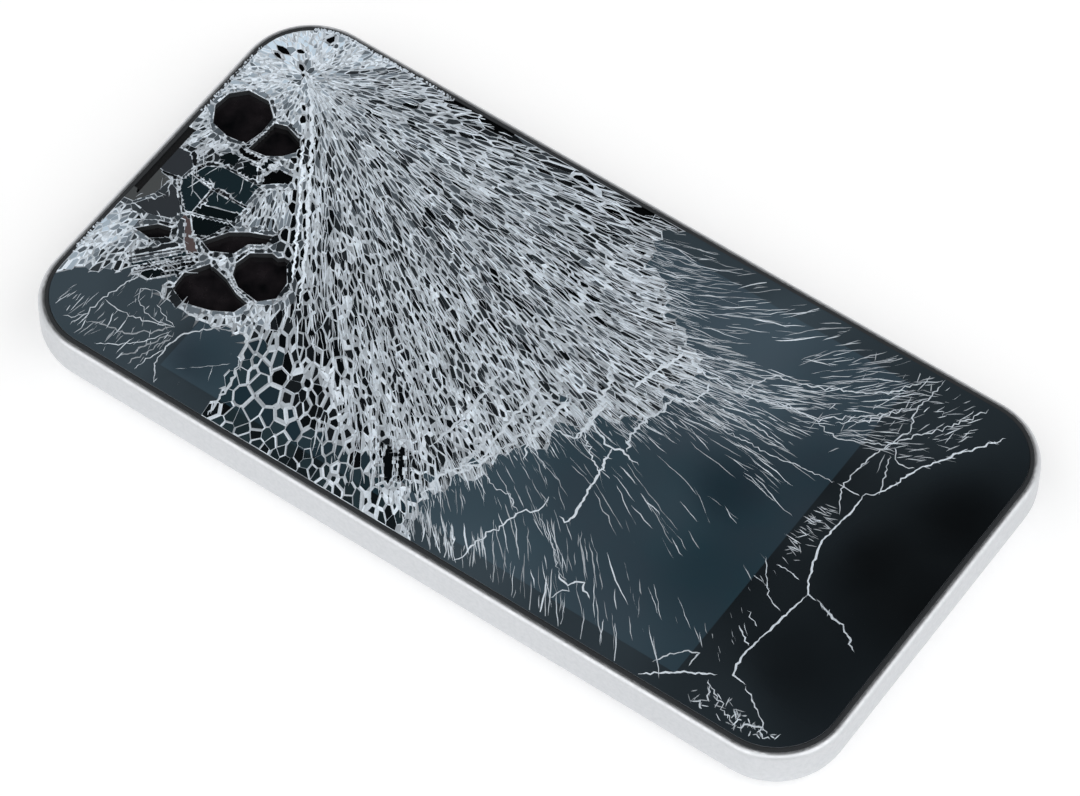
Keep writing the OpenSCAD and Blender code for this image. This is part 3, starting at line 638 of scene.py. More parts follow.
@dataclass
class BreakPattern:
    """Where the glass broke and how: the strike, the fan of splinters and the pieces round them."""

    strike: Point = (8.0, 48.6)
    glass_low: Point = (0.55, 0.55)
    glass_high: Point = (112.95, 56.35)
    corner_r: float = 8.1
    # The earpiece slit in the glass's end: how far down it reaches, and where it starts and ends across
    slit_down: float = 1.55
    slit_across: Point = (22.85, 34.05)
    seed_number: int = 11
    feather: float = 2.4
    # How near another seed may lie, as a share squared of a piece's size, and of a larger cell's
    seed_room: float = 0.72
    cell_room: float = 2.6
    # Seeds along a plate's edge: how far to either side, and about how far apart
    edge_side: float = 0.2
    edge_step: float = 0.55
    # The ridge along the fan's steep side, and how many pairs of dark cells lie along it
    ridge: tuple[Point, Point] = ((12.8, 43.4), (26.2, 23.2))
    ridge_pairs: int = 12
    dark_splinters: int = 170
    # The splinters lie within this far down and across, and so many places are tried for them
    broken_reach: Point = (74, 57)
    splinter_tries: int = 110000
    # The outline of the fan of splinters
    fan: Ring = field(default_factory=lambda: [
        (8, 48.6), (12, 43.8), (15, 39.6), (19, 33.6), (22.4, 28.6), (25, 23.8), (26.4, 20), (25.2, 17),
        (26.2, 12.5), (27.4, 7), (28.8, 0), (57.5, 0), (56.2, 4), (57, 8.5), (59, 12), (59.4, 17),
        (61.4, 20), (63.4, 19.2), (62.6, 24), (65.6, 24.8), (66.4, 28), (69, 28.8), (70.5, 31),
        (71.5, 34), (70.5, 37), (73, 40), (69, 43), (64.5, 45), (61, 48.5), (58, 51.5), (57.5, 57.5),
        (17, 57.5), (12, 53),
    ])
    # The lie of the cracks beyond the fan, by place across the phone
    far_lie: list[Point] = field(default_factory=lambda: [
        (2, -54), (8, -47), (15, -36), (20, -24), (26, -16), (32, -6), (38, 4), (44, 20), (50, 34),
        (57, 42),
    ])
    # How the glass in the fan is splintered
    grains: list[Grain] = field(default_factory=lambda: [
        Grain((9, 47), 0.5, 1.0, 0.95, 0.5), Grain((16, 52), 0.5, 1.8, 0.55, 0.34),
        Grain((28, 48), 0.54, 2.2, 0.46, 0.3), Grain((40, 50), 0.6, 2.5, 0.4, 0.32),
        Grain((52, 52), 0.8, 3.4, 0.08, 0.25), Grain((29, 56), 1.1, 3.0, 0.05, 0.25),
        Grain((45, 56), 1.1, 3.6, 0.03, 0.22), Grain((19, 37), 0.64, 2.5, 0.22, 0.3),
        Grain((30, 38), 0.58, 2.4, 0.36, 0.28), Grain((45, 40), 0.62, 2.5, 0.32, 0.28),
        Grain((58, 42), 0.52, 2.6, 0.45, 0.4), Grain((65, 36), 0.6, 2.8, 0.36, 0.36),
        Grain((30, 27), 0.8, 2.4, 0.04, 0.3), Grain((42, 28), 0.76, 2.4, 0.06, 0.28),
        Grain((54, 28), 0.76, 2.3, 0.16, 0.32), Grain((61, 24), 1.1, 2.6, 0.1, 0.3),
        Grain((33, 17), 1.1, 2.6, 0.0, 0.3), Grain((43, 18), 0.86, 2.1, 0.03, 0.34),
        Grain((52, 17), 0.82, 2.1, 0.06, 0.34), Grain((57, 17), 1.0, 2.6, 0.12, 0.34),
        Grain((30, 9), 1.7, 2.5, 0.0, 0.2), Grain((38, 11), 1.1, 2.0, 0.0, 0.32),
        Grain((48, 9), 1.15, 2.6, 0.0, 0.34), Grain((54, 6), 1.2, 3.4, 0.04, 0.3),
        Grain((32, 3), 2.3, 3.0, 0.0, 0.12), Grain((42, 2.5), 1.8, 2.6, 0.0, 0.15),
        Grain((52, 2), 1.6, 3.2, 0.0, 0.18), Grain((24, 25), 0.8, 2.4, 0.06, 0.34),
        Grain((15, 42), 0.5, 2.2, 0.45, 0.42),
    ])
    # How the glass between the plates is crushed
    crush: list[Grain] = field(default_factory=lambda: [
        Grain((4, 46), 0.55, 1.0, 1.4, 0.5), Grain((3, 53), 0.6, 1.1, 5.0, 0.4),
        Grain((12, 55), 0.55, 1.2, 1.5, 0.5), Grain((10, 45), 0.5, 1.1, 0.9, 0.45),
        Grain((1.5, 33), 0.6, 1.2, 0.5, 0.45), Grain((4, 31), 0.6, 1.6, 0.35, 0.4),
        Grain((2, 15), 0.6, 1.1, 2.6, 0.5), Grain((4.5, 14), 0.7, 1.4, 0.6, 0.4),
        Grain((7, 12.5), 1.1, 2.4, 0.15, 0.2), Grain((13, 33.5), 0.7, 1.2, 0.3, 0.4),
        Grain((16, 35.5), 0.6, 1.4, 0.4, 0.42), Grain((17.5, 29), 0.42, 1.8, 0.75, 0.4),
        Grain((14.5, 29.5), 0.5, 1.8, 0.55, 0.4), Grain((24, 15.5), 0.7, 1.2, 0.8, 0.5),
        Grain((25.3, 20), 0.7, 1.5, 0.5, 0.45), Grain((8, 20), 1.0, 2.4, 0.12, 0.25),
        Grain((7, 30), 1.4, 2.2, 0.06, 0.14), Grain((9, 26), 1.4, 2.2, 0.04, 0.14),
        Grain((3, 24), 1.3, 2.4, 0.15, 0.18), Grain((5, 22), 1.0, 2.2, 0.2, 0.2),
        Grain((15, 21), 0.8, 1.6, 0.2, 0.3), Grain((12, 14), 1.6, 2.6, 0.03, 0.14),
        Grain((17, 19), 0.9, 1.2, 0.5, 0.4), Grain((8.5, 35.4), 0.7, 1.2, 0.6, 0.4),
        Grain((20.5, 25.5), 0.8, 1.2, 0.4, 0.4), Grain((11.5, 29), 1.3, 2.0, 0.05, 0.14),
    ])
    # The part of the earpiece end that is broken into plates with crushed glass between them
    crushed_zone: Ring = field(default_factory=lambda: [
        (0, 8.5), (4, 10.5), (9.5, 14.4), (13.5, 15.2), (13.2, 12.4), (17.5, 11.8), (22.4, 13.2),
        (25.8, 13.4), (26.4, 20), (25, 23.8), (22.4, 28.6), (19, 33.6), (15, 39.6), (12, 43.8),
        (8, 48.6), (12, 53), (17, 57.5), (0, 57.5),
    ])
    plates: list[Plate] = field(default_factory=lambda: [
        Plate([(1.2, 38.6), (1.5, 41), (3.2, 42.8), (6.2, 42.9), (8.2, 41.2), (8.4, 38.6), (7.8, 36),
               (5.2, 35.6), (2.6, 36.2)], Look.LOST, 0.3),
        Plate([(8.9, 40.6), (10.4, 41.1), (12.6, 40.4), (13.9, 38.8), (12.6, 37), (11, 35.9), (8.5, 35.5),
               (8.8, 38.4)], Look.LOST, 0.3),
        Plate([(12.4, 21), (14.2, 24), (16.2, 25.4), (18.9, 26.6), (19, 25.1), (17.2, 23.9), (16.6, 21.8),
               (14, 20.4)], Look.LOST, 0.3),
        Plate([(17.7, 20.8), (18.2, 23), (20.4, 24.5), (22.9, 24.1), (24.5, 22), (24.8, 19.4),
               (23.2, 17.7), (20, 18.1), (18.4, 19.2)], Look.LOST, 0.3),
        Plate([(13.4, 16), (15.2, 18.9), (18, 18.3), (20.4, 17.2), (22.4, 16.8), (21.8, 14.8),
               (19.4, 13.4), (16, 12.4), (13.6, 13.4)], Look.LOST, 0.3),
        Plate([(4.5, 17.9), (6.4, 20), (8.2, 20.5), (8.7, 19.2), (6.8, 17.7)], Look.LOST, 0.3),
        Plate([(0.5, 30.6), (3.2, 31), (4.7, 29.4), (4.5, 27.2), (2, 26.8), (0.5, 27)], Look.GREY, 0.12),
        Plate([(0.5, 26.8), (2, 26.6), (3.6, 26.2), (3.3, 23.4), (1.8, 21),
               (0.5, 20.8)], Look.PALE, 0.12),
        Plate([(3.8, 26), (5.2, 25.4), (7.8, 23), (7.2, 21.5), (4.4, 20.5), (2.2, 20.8),
               (3.5, 23.2)], Look.GREY, 0.16),
        Plate([(5, 28.4), (8.6, 28), (8.7, 23.8), (8, 23.4), (5.4, 25.8), (4.8, 27)], Look.TEAL, 0.16),
        Plate([(9, 27.9), (13.8, 28), (13.6, 26.9), (8.9, 25.4)], Look.TEAL, 0.14),
        Plate([(8.9, 25.2), (13.6, 26.7), (14, 25.6), (8.8, 23.7)], Look.DARK, 0.14),
        Plate([(8.8, 23.4), (13.9, 25.2), (12.2, 21.8), (10.8, 21.2)], Look.DARK, 0.16),
        Plate([(7.6, 31.5), (13.2, 31.6), (13.3, 28.3), (9, 28.2), (5.4, 28.7),
               (6, 30.4)], Look.TEAL, 0.16),
        Plate([(6.3, 32.6), (7.2, 34), (8.7, 33.9), (8.8, 31.8), (6.8, 31.7)], Look.DARK, 0.18),
        Plate([(9, 33.9), (11.2, 33.9), (12.6, 31.9), (9, 31.8)], Look.DARK, 0.18),
        Plate([(7.6, 35.2), (10.9, 35.4), (11, 34.3), (7.4, 34.2)], Look.BLACK, 0.3),
        Plate([(13, 35.2), (15.9, 35.3), (15.9, 33.9), (14.8, 33.4), (13.2, 32),
               (12.6, 33.4)], Look.BLACK, 0.35),
        Plate([(11.3, 35.6), (12.8, 35.8), (12.6, 34), (11.4, 34.2)], Look.DARK, 0.3),
        Plate([(8.4, 22.9), (9.4, 22.6), (12.9, 19.4), (12, 18.4), (10.8, 19.4)], Look.BROWN, 0.22),
        Plate([(6.3, 13.9), (11.8, 19.9), (12.2, 19.6), (6.7, 13.5)], Look.GREY, 0.22),
        Plate([(6.9, 13.4), (12.4, 19.3), (12.9, 18.9), (7.5, 12.9)], Look.TEAL, 0.22),
        Plate([(7.7, 12.8), (13, 18.5), (13.4, 18), (8.3, 12.5)], Look.GREY, 0.2),
        Plate([(8.5, 12.5), (13.2, 17.4), (13.1, 15.6), (10.4, 12.6)], Look.DARK, 0.2),
        Plate([(48.1, 9.8), (48.9, 10.3), (51.5, 6.9), (51.7, 5.4), (50.9, 5.5),
               (49, 7.9)], Look.BLACK, 0.3),
        Plate([(49.5, 10.8), (50.3, 10.8), (52.8, 7.2), (52.7, 6.1), (52, 6.6)], Look.BLACK, 0.3),
    ])
    # Larger pieces among the splinters
    cells: list[Cell] = field(default_factory=lambda: [
        Cell((6.8, 54.9), (0.95, 0.75), 20, Look.BLACK), Cell((2.9, 50.3), (1.5, 0.4), -8, Look.BLACK),
        Cell((2.9, 49.2), (1.4, 0.35), -12, Look.BLACK), Cell((6.3, 49.5), (1.2, 0.5), -28, Look.BLACK),
        Cell((4.9, 51.4), (0.6, 0.4), 0, Look.BLACK), Cell((11.4, 42.9), (0.8, 0.6), -50, Look.BLACK),
        Cell((10.3, 44.6), (0.8, 0.5), -30, Look.BLACK), Cell((14.2, 37.4), (0.6, 0.45), 0, Look.BLACK),
        Cell((18.2, 33.2), (1.3, 0.45), -52, Look.BLACK), Cell((21, 52.5), (1.1, 0.45), 25, Look.BLACK),
        Cell((20, 27.7), (1.2, 0.85), -60, Look.BLACK), Cell((22.1, 25.7), (1.1, 0.85), -40, Look.BLACK),
        Cell((25.2, 56), (2.2, 0.4), 0, Look.BLACK), Cell((31.4, 55.6), (2.8, 0.6), -2, Look.BLACK),
        Cell((37, 54.6), (1.8, 0.4), 4, Look.BLACK), Cell((45.5, 55.3), (2.8, 0.7), -6, Look.BLACK),
        Cell((53, 55.2), (2.4, 0.8), 8, Look.BLACK), Cell((50.5, 53.4), (2.2, 0.5), -4, Look.BLACK),
        Cell((55.4, 53), (1.8, 0.6), 12, Look.BLACK), Cell((56.6, 50.6), (1.8, 0.5), 6, Look.BLACK),
        Cell((32, 10.7), (1.3, 1.2), -60, Look.BLACK), Cell((32.7, 7.6), (1.7, 1.5), -50, Look.CLEAR),
        Cell((29.2, 14.9), (1.7, 0.9), -50, Look.BLACK),
        Cell((32.9, 17.6), (1.8, 0.75), -48, Look.BLACK),
        Cell((35.2, 17.8), (1.8, 0.9), -46, Look.BLACK),
        Cell((34.3, 15.3), (1.3, 0.65), -46, Look.BLACK),
        Cell((37.2, 15.8), (1.2, 0.65), -46, Look.BLACK), Cell((38, 5.2), (1.4, 1.1), -50, Look.CLEAR),
        Cell((46.4, 6), (1.3, 0.75), -52, Look.BLACK), Cell((43.1, 7.5), (1.1, 0.65), -50, Look.BLACK),
        Cell((49.4, 4.2), (1.2, 0.8), -50, Look.TEAL), Cell((29.8, 5.6), (1.9, 1.2), -66, Look.CLEAR),
        Cell((35.2, 11.6), (1.0, 0.7), -40, Look.BLACK),
        Cell((37.9, 12.4), (1.0, 0.55), -40, Look.BLACK), Cell((41.8, 12), (1.0, 0.5), -40, Look.BLACK),
        Cell((30.6, 20.6), (1.0, 0.55), -48, Look.BLACK),
        Cell((27.6, 21.6), (0.9, 0.7), -40, Look.BLACK), Cell((45.6, 21.8), (0.8, 0.6), -20, Look.BLACK),
    ])
    # How cloudy the clear glass looks from its finest cracks: down, across, share
    haze: list[Place3] = field(default_factory=lambda: [
        (4, 8, 0.18), (14, 7, 0.16), (22, 6, 0.05), (22, 1.6, 0.13), (10, 11, 0.15), (17, 2, 0.16),
        (80, 22, 0.08), (90, 18, 0.02), (85, 28, 0.0), (75, 50, 0.18), (70, 55, 0.12), (88, 48, 0.1),
        (62, 14, 0.12), (70, 20, 0.07), (84, 2, 0.1), (66, 2, 0.16), (96, 30, 0.04), (98, 50, 0.07),
        (105, 30, 0.0), (105, 12, 0.015), (110, 40, 0.0), (101, 3, 0.06), (94, 36, 0.03), (78, 40, 0.2),
        (72, 34, 0.1), (112, 28, 0.0),
    ])
    seeds: list[Seed] = field(default_factory=list)
    grid: dict[tuple[int, int], list[Seed]] = field(default_factory=dict)

    def polar(self, place: Point) -> Point:
        """Gives the distance and direction in degrees of a place from the strike."""
        down, across = place[0] - self.strike[0], place[1] - self.strike[1]
        return math.hypot(down, across), math.degrees(math.atan2(across, down))

    def lie(self, place: Point) -> float:
        """Gives the direction that the splinters run in at a place.

        Args:
            place: the place.

        Returns:
            Degrees from the way straight down the phone.
        """
        _, angle = self.polar(place)
        # By the -X edge the rays bend back a little
        angle -= 9 * smooth(14, 6, place[1]) * smooth(24, 34, place[0])
        return blend(angle, between(self.far_lie, place[1]), smooth(52, 72, place[0]))

    def along(self, place: Point, distance: float) -> Point:
        """Moves a place along the way its splinters run, away from the strike."""
        angle = math.radians(self.lie(place))
        return place[0] + distance * math.cos(angle), place[1] + distance * math.sin(angle)

    def in_glass(self, place: Point, margin: float = 0.0) -> bool:
        """Tells whether a place is on the glass.

        Args:
            place: the place.
            margin: how far inside the glass's edge it has to be.

        Returns:
            True if it is.
        """
        half = [(h - l) / 2 for l, h in zip(self.glass_low, self.glass_high)]
        off = [abs(p - (l + h) / 2) for p, l, h in zip(place, self.glass_low, self.glass_high)]
        beyond = [max(0.0, o - h + self.corner_r) for o, h in zip(off, half)]
        round_corner = math.hypot(*beyond) < self.corner_r - margin
        return off[0] < half[0] - margin and off[1] < half[1] - margin and round_corner

    def in_slit(self, place: Point) -> bool:
        """True if a place lies in the earpiece slit."""
        return place[0] < self.slit_down and self.slit_across[0] < place[1] < self.slit_across[1]

    @staticmethod
    def grain_at(place: Point, grains: list[Grain]) -> Grain:
        """Mixes the grains round a place, the nearest ones most.

        Args:
            place: the place.
            grains: the known grains.

        Returns:
            The grain there.
        """
        weights = [1 / (0.5 + math.dist(place, grain.place)) ** 3.5 for grain in grains]
        total = sum(weights)

        def mean(name: str) -> float:
            """Gives the weighted mean of one of the grains' values."""
            return sum(w * getattr(grain, name) for w, grain in zip(weights, grains)) / total

        return Grain(place, mean("across"), mean("along"), mean("milk"), mean("share"))

    @staticmethod
    def square(place: Point) -> tuple[int, int]:
        """Gives the square of the grid that a place lies in."""
        return int(place[0] // 1), int(place[1] // 1)

    def plant(self, seed: Seed) -> None:
        """Adds a seed to the list and to its square."""
        self.seeds.append(seed)
        self.grid.setdefault(self.square(seed.place), []).append(seed)

    def loose_group(self) -> int:
        """Gives a group number that no other seed has."""
        return Seed.LOOSE - len(self.seeds)

    def crowded(self, place: Point, across: float, along: float, angle: float = 0.0) -> bool:
        """Tells whether a seed already lies within about one piece's size of a place.

        Args:
            place: where a new piece would grow.
            across: its width.
            along: its length.
            angle: the way it runs, in radians.

        Returns:
            True if one does.
        """
        reach = math.ceil(max(across, along)) + 1
        home = self.square(place)
        cos, sin = math.cos(angle), math.sin(angle)
        for i in range(home[0] - reach, home[0] + reach + 1):
            for j in range(home[1] - reach, home[1] + reach + 1):
                for other in self.grid.get((i, j), ()):
                    dx, dy = other.place[0] - place[0], other.place[1] - place[1]
                    u, v = dx * cos + dy * sin, dy * cos - dx * sin
                    if (u / along) ** 2 + (v / across) ** 2 < self.seed_room:
                        return True
                    if other.cell:
                        u, v = other.turned(dx, dy)
                        if (u / other.cell.half[0]) ** 2 + (v / other.cell.half[1]) ** 2 < self.cell_room:
                            return True
        return False

    def owner(self, place: Point) -> int:
        """Gives the number of the plate at a place, counted from 1, or 0."""
        return next((number for number, plate in enumerate(self.plates, 1) if plate.holds(place)), 0)

    def lost(self, place: Point) -> bool:
        """True if the glass at a place has fallen out."""
        owner = self.owner(place)
        return owner > 0 and self.plates[owner - 1].look is Look.LOST

    def broken(self, place: Point) -> bool:
        """True if a place lies in the fan or the crushed zone."""
        return inside(self.fan, place) or inside(self.crushed_zone, place)

    def add_dark_cells(self, chance: random.Random) -> None:
        """Adds dark cells on both sides of the ridge, and dark splinters over the fan.

        Args:
            chance: the random numbers to draw from.
        """
        for i in range(self.ridge_pairs):
            x, y = blend_places(*self.ridge, (i + 0.5) / self.ridge_pairs)
            bow = 1.2 * math.sin(math.pi * (i + 0.5) / self.ridge_pairs)
            for side in (0.75, -0.7):
                place = (x + (side - bow) * 0.83 + chance.uniform(-0.2, 0.2), y + (side - bow) * 0.56)
                if chance.random() < 0.9:
                    self.cells.append(Cell(place, (1.0, 0.36), -57, Look.BLACK))
        for _ in range(self.dark_splinters):
            place = (chance.uniform(20, 60), chance.uniform(12, 46))
            if inside(self.fan, place):
                half = (chance.uniform(0.6, 1.3), chance.uniform(0.16, 0.3))
                self.cells.append(Cell(place, half, self.lie(place), Look.BLACK))

    def plant_cells(self) -> None:
        """Plants one seed for each of the larger cells."""
        for cell in self.cells:
            across, along = 2 * cell.half[1], 2 * cell.half[0]
            angle = math.radians(cell.turn)
            self.plant(Seed(cell.place, self.loose_group(), across, along, angle, cell=cell))

    def plant_edges(self) -> None:
        """Plants pairs of seeds on both sides of each plate's edges, so that its outline comes out as drawn.

        The seeds outside one edge make one long splinter, unless another plate lies there.
        """
        for number, plate in enumerate(self.plates, 1):
            for edge, ((x0, y0), (x1, y1)) in enumerate(edges(plate.corners)):
                length = math.dist((x0, y0), (x1, y1))
                nx, ny = (y1 - y0) / length * self.edge_side, -(x1 - x0) / length * self.edge_side
                count = max(1, round(length / self.edge_step))
                splinter = self.grain_at(((x0 + x1) / 2, (y0 + y1) / 2), self.grains + self.crush)
                for i in range(count):
                    x, y = blend_places((x0, y0), (x1, y1), (i + 0.5) / count)
                    for place in ((x + nx, y + ny), (x - nx, y - ny)):
                        if not self.in_glass(place, 0.02) or self.crowded(place, 0.36, 0.36):
                            continue
                        owner = self.owner(place)
                        if owner == 0 and self.broken(place):
                            self.plant(Seed(place, Seed.EDGE - 16 * number - edge, 0.6, 0.6, grain=splinter))
                        else:
                            self.plant(Seed(place, owner, 0.6, 0.6))

    def plant_plates(self) -> None:
        """Fills each plate with seeds on a grid."""
        for i in range(math.ceil(self.glass_high[0]) + 1):
            for j in range(math.ceil(self.glass_high[1])):
                place = (i + 0.5 * (j % 2), j * 1.0)
                owner = self.owner(place)
                if owner and self.in_glass(place, 0.1) and not self.crowded(place, 0.8, 0.8):
                    self.plant(Seed(place, owner, 0.9, 0.9))

    def plant_splinters(self, chance: random.Random) -> None:
        """Plants seeds at random over the fan and the crushed zone wherever there is room.

        Args:
            chance: the random numbers to draw from.
        """
        known: dict[tuple[int, int, bool], Grain] = {}
        for _ in range(self.splinter_tries):
            place = (chance.uniform(0, self.broken_reach[0]), chance.uniform(0, self.broken_reach[1]))
            ahead = abs(chance.gauss(0, self.feather)) * smooth(50, 56, place[0])
            in_fan = inside(self.fan, self.along(place, ahead))
            if not in_fan and not inside(self.crushed_zone, place):
                continue
            if not self.in_glass(place, 0.1) or self.owner(place):
                continue
            key = (round(place[0]), round(place[1]), in_fan)
            if key not in known:
                known[key] = self.grain_at(key[:2], self.grains if in_fan else self.crush)
            grain = known[key]
            angle = math.radians(self.lie(place))
            scale = math.exp(chance.gauss(0, 0.3))
            if not self.crowded(place, grain.across * scale, grain.along * scale, angle):
                self.plant(Seed(place, self.loose_group(), grain.across, grain.along, angle, grain))

    def plant_clear_rest(self) -> None:
        """Plants seeds of the clear glass on a wide grid over all that is left."""
        for i in range(64):
            for j in range(34):
                place = (1.8 * i + 0.9 * (j % 2) + 0.3, 1.7 * j + 0.4)
                ahead = place[0] > 52 and not inside(self.fan, self.along(place, 2.5 * self.feather))
                if self.broken(place) and not ahead or self.owner(place):
                    continue
                if self.in_glass(place, 0.12) and not self.crowded(place, 0.9, 0.9):
                    self.plant(Seed(place, 0, 1.8, 1.8))

    def sow(self) -> None:
        """Plants every seed: cells and plates first, then splinters, crushed glass and the clear rest."""
        chance = random.Random(self.seed_number)
        self.add_dark_cells(chance)
        self.plant_cells()
        self.plant_edges()
        self.plant_plates()
        self.plant_splinters(chance)
        self.plant_clear_rest()


# ---------------------------------------------------------------- the glass


@dataclass
class Shard:
    """One piece of glass in plan: its outline on the crack's floor and its smaller top."""

    seed: Seed
    outline: Ring
    top: Ring
    cracks: list[float]


@dataclass
class ShatteredGlass:
    """The front glass, broken into splinters, cells and large plates that still lie in the seal."""

    pattern: BreakPattern
    top_z: float = GLASS_TOP
    bottom_z: float = GLASS_LOW[2] + 0.02
    groove: float = 0.08
    black: str = "040506"
    milk: str = "94A1AC"
    cloud_colour: str = "8AA2B2"
    net_colour: str = "2B3B41"
    # The lines of light and dark rays: how long one stays the same, and how many lie in a radian
    streak_mm: float = 5.0
    streaks_per_radian: float = 34.0
    # Shorter edges are left out of a piece's outline
    shortest_edge: float = 0.015
    # How far off a piece's neighbours are looked for: round clear glass, at least, and in its own sizes
    clear_reach: float = 5.0
    least_reach: float = 3.0
    reach_sizes: float = 2.4
    most_neighbours: int = 63
    seed_number: int = 5
    streaks: dict[tuple[int, int], float] = field(default_factory=dict)

    def glass_ring(self) -> Ring:
        """Gives the glass's outline.

        Returns:
            Its corners, with twelve steps round each quarter circle.
        """
        low, high, r = self.pattern.glass_low, self.pattern.glass_high, self.pattern.corner_r
        near, far = (low[0] + r, low[1] + r), (high[0] - r, high[1] - r)
        middles = (far, (near[0], far[1]), near, (far[0], near[1]))
        ring = []
        for turn, (cx, cy) in enumerate(middles):
            for step in range(13):
                angle = math.radians(90 * turn + 7.5 * step)
                ring.append((cx + r * math.cos(angle), cy + r * math.sin(angle)))
        return ring

    @staticmethod
    def clip(ring: Ring, marks: list[int], point: Point, normal: Point, mark: int) -> tuple[Ring, list[int]]:
        """Keeps the part of a convex ring behind a line.

        Args:
            ring: the ring.
            marks: for each edge the number of the line that it lies on.
            point: a point on the line.
            normal: the line's normal, towards the part that goes.
            mark: the line's number.

        Returns:
            The ring that is left and its marks.
        """
        gaps = [(x - point[0]) * normal[0] + (y - point[1]) * normal[1] for x, y in ring]
        if max(gaps) <= 0:
            return ring, marks
        kept, kept_marks = [], []
        for i, ((start, end), edge) in enumerate(zip(edges(ring), marks)):
            here, there = gaps[i], gaps[(i + 1) % len(ring)]
            if here <= 0:
                kept.append(start)
                kept_marks.append(edge)
            if here * there < 0:
                kept.append(blend_places(start, end, here / (here - there)))
                kept_marks.append(mark if here < 0 else edge)
        return kept, kept_marks

    @staticmethod
    def divide(one: Seed, other: Seed) -> tuple[Point, Point]:
        """Finds the line between two pieces.

        Between two splinters distance counts for less along the way they run, so they come out long.

        Args:
            one: the seed of the first piece.
            other: the seed of the second piece.

        Returns:
            A point on the line, and the line's normal towards the second piece.
        """
        dx, dy = other.place[0] - one.place[0], other.place[1] - one.place[1]
        middle = (one.place[0] + dx / 2, one.place[1] + dy / 2)
        normal = [0.0, 0.0]
        for seed in (one, other):
            cos, sin = math.cos(seed.angle), math.sin(seed.angle)
            u, v = dx * cos + dy * sin, dy * cos - dx * sin
            u *= (seed.across / seed.along) ** 2
            normal[0] += u * cos - v * sin
            normal[1] += u * sin + v * cos
        return middle, (normal[0], normal[1])

    def streak(self, place: Point) -> float:
        """Gives a smooth random level that changes quickly across the rays and slowly along them.

        Args:
            place: the place.

        Returns:
            The level there, from 0 to 1.
        """
        distance, angle = self.pattern.polar(place)
        u, v = distance / self.streak_mm, math.radians(angle) * self.streaks_per_radian
        i, j = math.floor(u), math.floor(v)
        s, t = smooth(0, 1, u - i), smooth(0, 1, v - j)
        here = blend(self.streak_level(i, j), self.streak_level(i + 1, j), s)
        beside = blend(self.streak_level(i, j + 1), self.streak_level(i + 1, j + 1), s)
        return blend(here, beside, t)

    def streak_level(self, i: int, j: int) -> float:
        """Gives the level at one knot of the streaks' grid, the same each time it is asked for.

        Args:
            i: the knot's number away from the strike.
            j: the knot's number round the strike.

        Returns:
            The level, from 0 to 1.
        """
        if (i, j) not in self.streaks:
            self.streaks[(i, j)] = random.Random(i * PRIMES[0] + j * PRIMES[1] + 17).random()
        return self.streaks[(i, j)]

    def crack_width(self, one: Seed, other: Seed | None, chance: random.Random) -> float:
        """Gives the width of the crack between two pieces, or along the seal.

        Args:
            one: the seed of the first piece.
            other: the seed of the second piece, or None along the seal.
            chance: the random numbers to draw from.

        Returns:
            The width in millimetres, 0 inside one piece.
        """
        if other is None:
            return 0.14 if one.grain else 0.0
        if one.group == other.group:
            return 0.0
        pair = (one, other)
        plates = [self.pattern.plates[seed.group - 1].crack for seed in pair if seed.is_plate]
        if len(plates) == 2:
            return max(plates) * chance.uniform(0.7, 1.3)
        grains = [seed.grain for seed in pair if seed.grain]
        if not grains:
            return max([0.3] + plates) * chance.uniform(0.5, 1.2)
        middle = ((one.place[0] + other.place[0]) / 2, (one.place[1] + other.place[1]) / 2)
        width = min(grain.share * grain.across for grain in grains)
        if plates:
            width = min(width, max(plates))
        # Most cracks are fine and a few stand wide open
        return width * (0.1 + 1.9 * chance.random() ** 1.8) * blend(0.65, 1.2, self.streak(middle))

    def shards(self) -> list[Shard]:
        """Cuts the glass up round its seeds.

        Returns:
            The pieces that are left in the phone.
        """
        seeds = self.pattern.seeds
        tree = KDTree(len(seeds))
        for number, seed in enumerate(seeds):
            tree.insert((*seed.place, 0.0), number)
        tree.balance()
        whole = self.glass_ring()
        cut = []
        for number, seed in enumerate(seeds):
            if seed.is_plate and self.pattern.plates[seed.group - 1].look is Look.LOST:
                continue
            reach = max(self.least_reach, self.reach_sizes * max(seed.across, seed.along))
            if seed.group == 0:
                reach = self.clear_reach
            near = sorted(tree.find_range((*seed.place, 0.0), reach), key=lambda found: found[2])
            ring, marks = whole, [-1] * len(whole)
            for _, other_number, _ in near[1 : self.most_neighbours + 1]:
                point, normal = self.divide(seed, seeds[other_number])
                ring, marks = self.clip(ring, marks, point, normal, other_number)
                if len(ring) < 3:
                    break
            ring, marks = self.clear_slit(ring, marks)
            if len(ring) >= 3:
                cut.append(self.shard(number, ring, marks))
        return [shard for shard in cut if shard]

    def clear_slit(self, ring: Ring, marks: list[int]) -> tuple[Ring, list[int]]:
        """Cuts a piece back from the earpiece slit, to the side of it where most of the piece lies.

        Args:
            ring: the piece's outline.
            marks: for each edge the number of the line that it lies on.

        Returns:
            The outline that is left and its marks.
        """
        down, (left, right) = self.pattern.slit_down, self.pattern.slit_across
        if len(ring) < 3 or min(x for x, _ in ring) >= down:
            return ring, marks
        if max(y for _, y in ring) <= left or min(y for _, y in ring) >= right:
            return ring, marks
        sides = (((down, 0.0), (-1.0, 0.0)), ((0.0, left), (0.0, 1.0)), ((0.0, right), (0.0, -1.0)))
        cuts = [self.clip(ring, marks, point, normal, -1) for point, normal in sides]
        return max(cuts, key=lambda cut: area(cut[0]))

